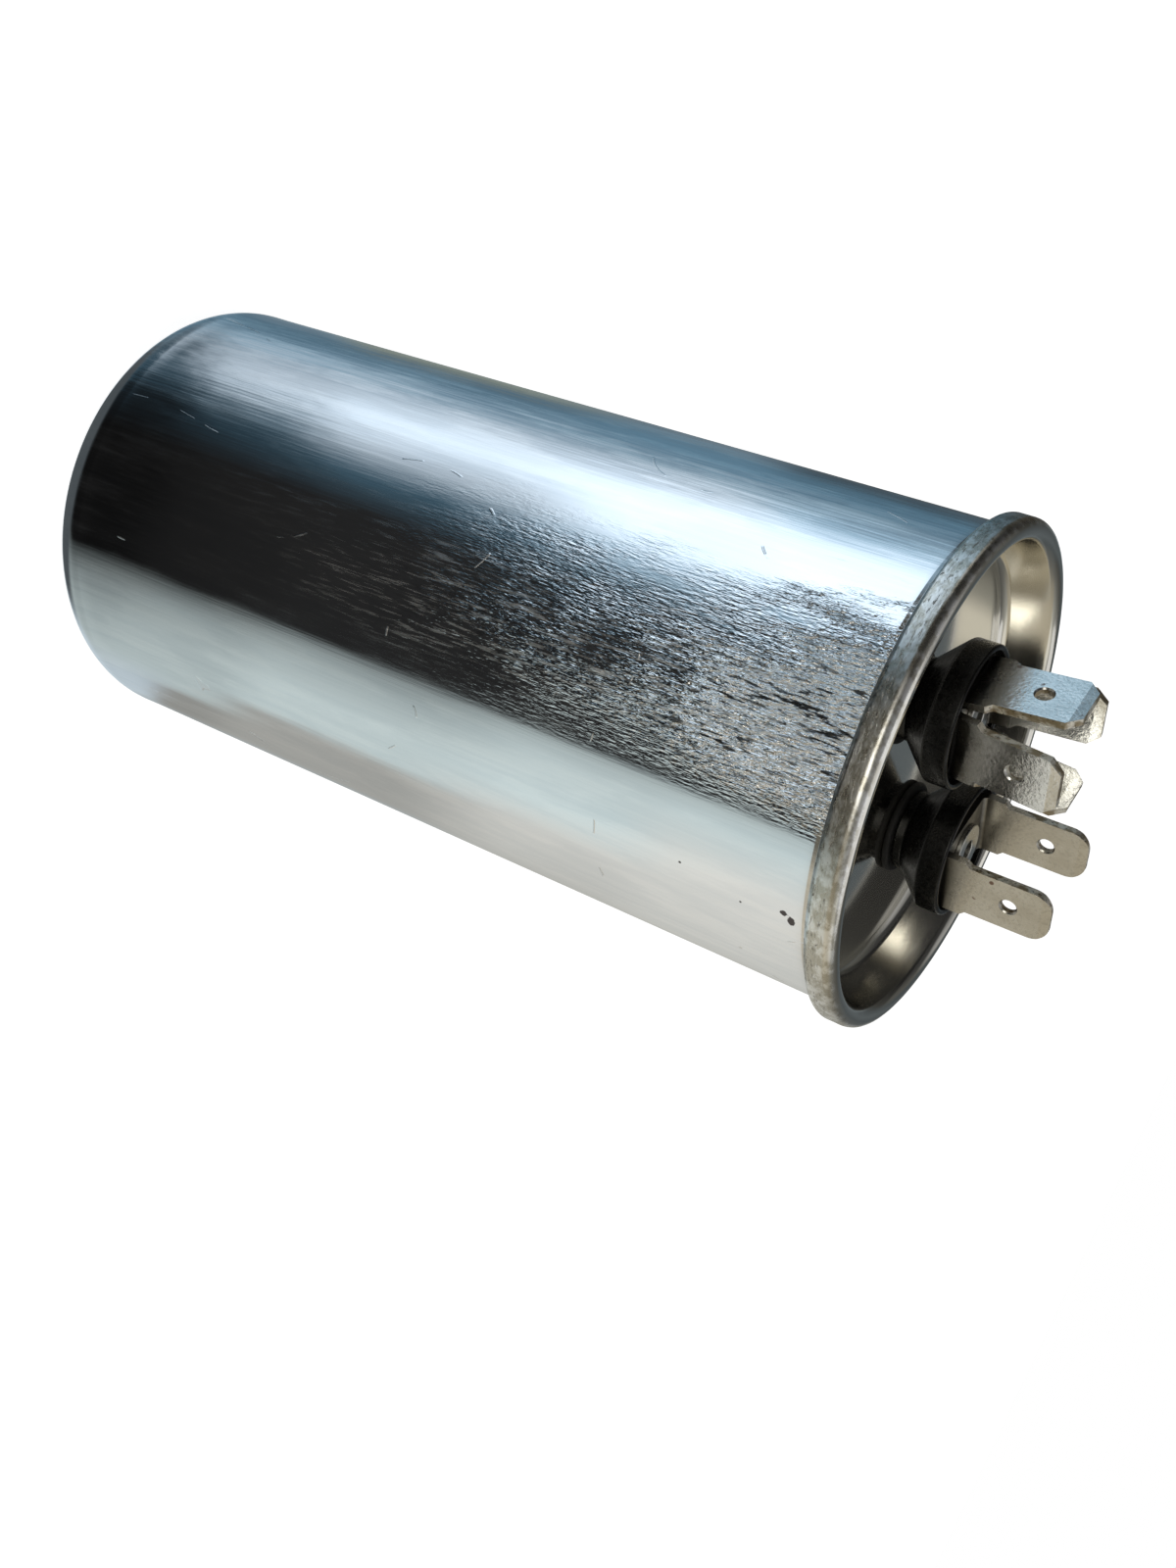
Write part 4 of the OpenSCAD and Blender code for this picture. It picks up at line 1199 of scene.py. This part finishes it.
# %% Inner finishes
def plastic(name, light, dark, rough, size=3.0):
    """A plastic with a slight cloud in its colour and a soft unevenness."""
    material, tree, shader, where = new_material(name, IOR=1.5)
    cloud = noise(tree, where, (size, size, size), detail=3)
    feed(tree, shader, Base_Color=mix_colour(tree, spread(tree, cloud, 0.3, 0.7), dark, light),
         Roughness=spread(tree, cloud, 0.3, 0.7, rough - 0.05, rough + 0.05),
         Normal=bump(tree, cloud, 0.02))
    return material


def sprayed_metal():
    """Metal sprayed on the winding's ends: grey, rough and pitted."""
    material, tree, shader, where = new_material("sprayed_metal", Metallic=1.0)
    grain = noise(tree, where, (0.25, 0.25, 0.25), detail=5, rough=0.7)
    tone = spread(tree, grain, 0.3, 0.7)
    feed(tree, shader, Base_Color=mix_colour(tree, tone, (0.28, 0.28, 0.29), (0.55, 0.55, 0.56)),
         Roughness=spread(tree, grain, 0.3, 0.7, 0.55, 0.8), Normal=bump(tree, grain, 0.12))
    return material


def metallised_film():
    """Wound film: rings about Z that stand for its turns."""
    material, tree, shader, where = new_material("metallised_film", Metallic=0.8)
    rings = add(tree, "ShaderNodeTexWave", {
        "Vector": where, "Scale": 1 / (1.1 * MM), "Distortion": 0.4, "Detail": 2.0,
    }, wave_type="RINGS", rings_direction="Z").outputs["Fac"]
    feed(tree, shader, Base_Color=mix_colour(tree, rings, (0.50, 0.51, 0.54), (0.72, 0.73, 0.76)),
         Roughness=spread(tree, rings, 0.2, 0.8, 0.25, 0.4), Normal=bump(tree, rings, 0.03))
    return material


# %% Finish of each inner piece
# Each row is (nodes, finish, name of its slot).
compound = plastic("sealing_compound", (0.10, 0.11, 0.10), (0.05, 0.06, 0.055), 0.6)
washer = plastic("phenolic_washer", (0.07, 0.05, 0.035), (0.035, 0.026, 0.02), 0.5, 0.8)
red = plastic("red_insulation", (0.42, 0.03, 0.03), (0.30, 0.02, 0.02), 0.4)
blue = plastic("blue_insulation", (0.03, 0.08, 0.36), (0.02, 0.05, 0.25), 0.4)
solder = plated("solder", (0.66, 0.67, 0.68), 0.25, 0.45, 0.6, 0.03)
core = plastic("core_plastic", (0.72, 0.70, 0.64), (0.62, 0.60, 0.54), 0.45)
wrap = plastic("clear_wrap", (0.62, 0.60, 0.52), (0.52, 0.50, 0.43), 0.25)
cap = plastic("cap_plastic", (0.78, 0.78, 0.74), (0.68, 0.68, 0.64), 0.4)
liner = plastic("liner_film", (0.55, 0.46, 0.32), (0.44, 0.36, 0.24), 0.35)
INNER = [
    (("seam_compound",), compound, "sealing_compound"),
    (("four_blade_washer", "two_blade_washer"), washer, "phenolic_washer"),
    (("four_blade_lug", "two_blade_lug"), dull_brass, "tinned_brass"),
    (("top_lead",), red, "red_lead"),
    (("bottom_lead",), blue, "blue_lead"),
    (("top_solder", "bottom_solder"), solder, "solder"),
    (("film_winding",), metallised_film(), "metallised_film"),
    (("core_tube",), core, "core_plastic"),
    (("top_metal_spray", "bottom_metal_spray"), sprayed_metal(), "sprayed_metal"),
    (("film_wrap",), wrap, "film_wrap"),
    (("top_end_cap", "bottom_end_cap"), cap, "cap_plastic"),
    (("can_liner",), liner, "liner_film"),
]
for nodes, material, slot_name in INNER:
    for node in nodes:
        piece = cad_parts[node]
        piece.data.materials.clear()
        piece.data.materials.append(material)
print("inner pieces:", sum(len(row[0]) for row in INNER))

# %% Finish of each node that a piece stands for
OUTER = {
    "can": aluminium, "lid": tin,
    "four_blade_terminal": bright_brass, "two_blade_terminal": dull_brass,
    "four_blade_insulator": phenolic, "two_blade_insulator": phenolic,
    "four_blade_gasket": rubber, "two_blade_gasket": rubber,
    "four_blade_rivet": rivet_plate, "two_blade_rivet": rivet_plate,
}
for node, material in OUTER.items():
    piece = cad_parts[node]
    piece.data.materials.clear()
    piece.data.materials.append(material)
print("dressed nodes:", len(OUTER), "of", len(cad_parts))

# %% [markdown]
# ## Sizes
# A dressed part has to keep the size of its solids, or it would no longer fit where they
# do. The last step brings the scene up to date.

# %% Bring the scene up to date
bpy.context.view_layer.update()
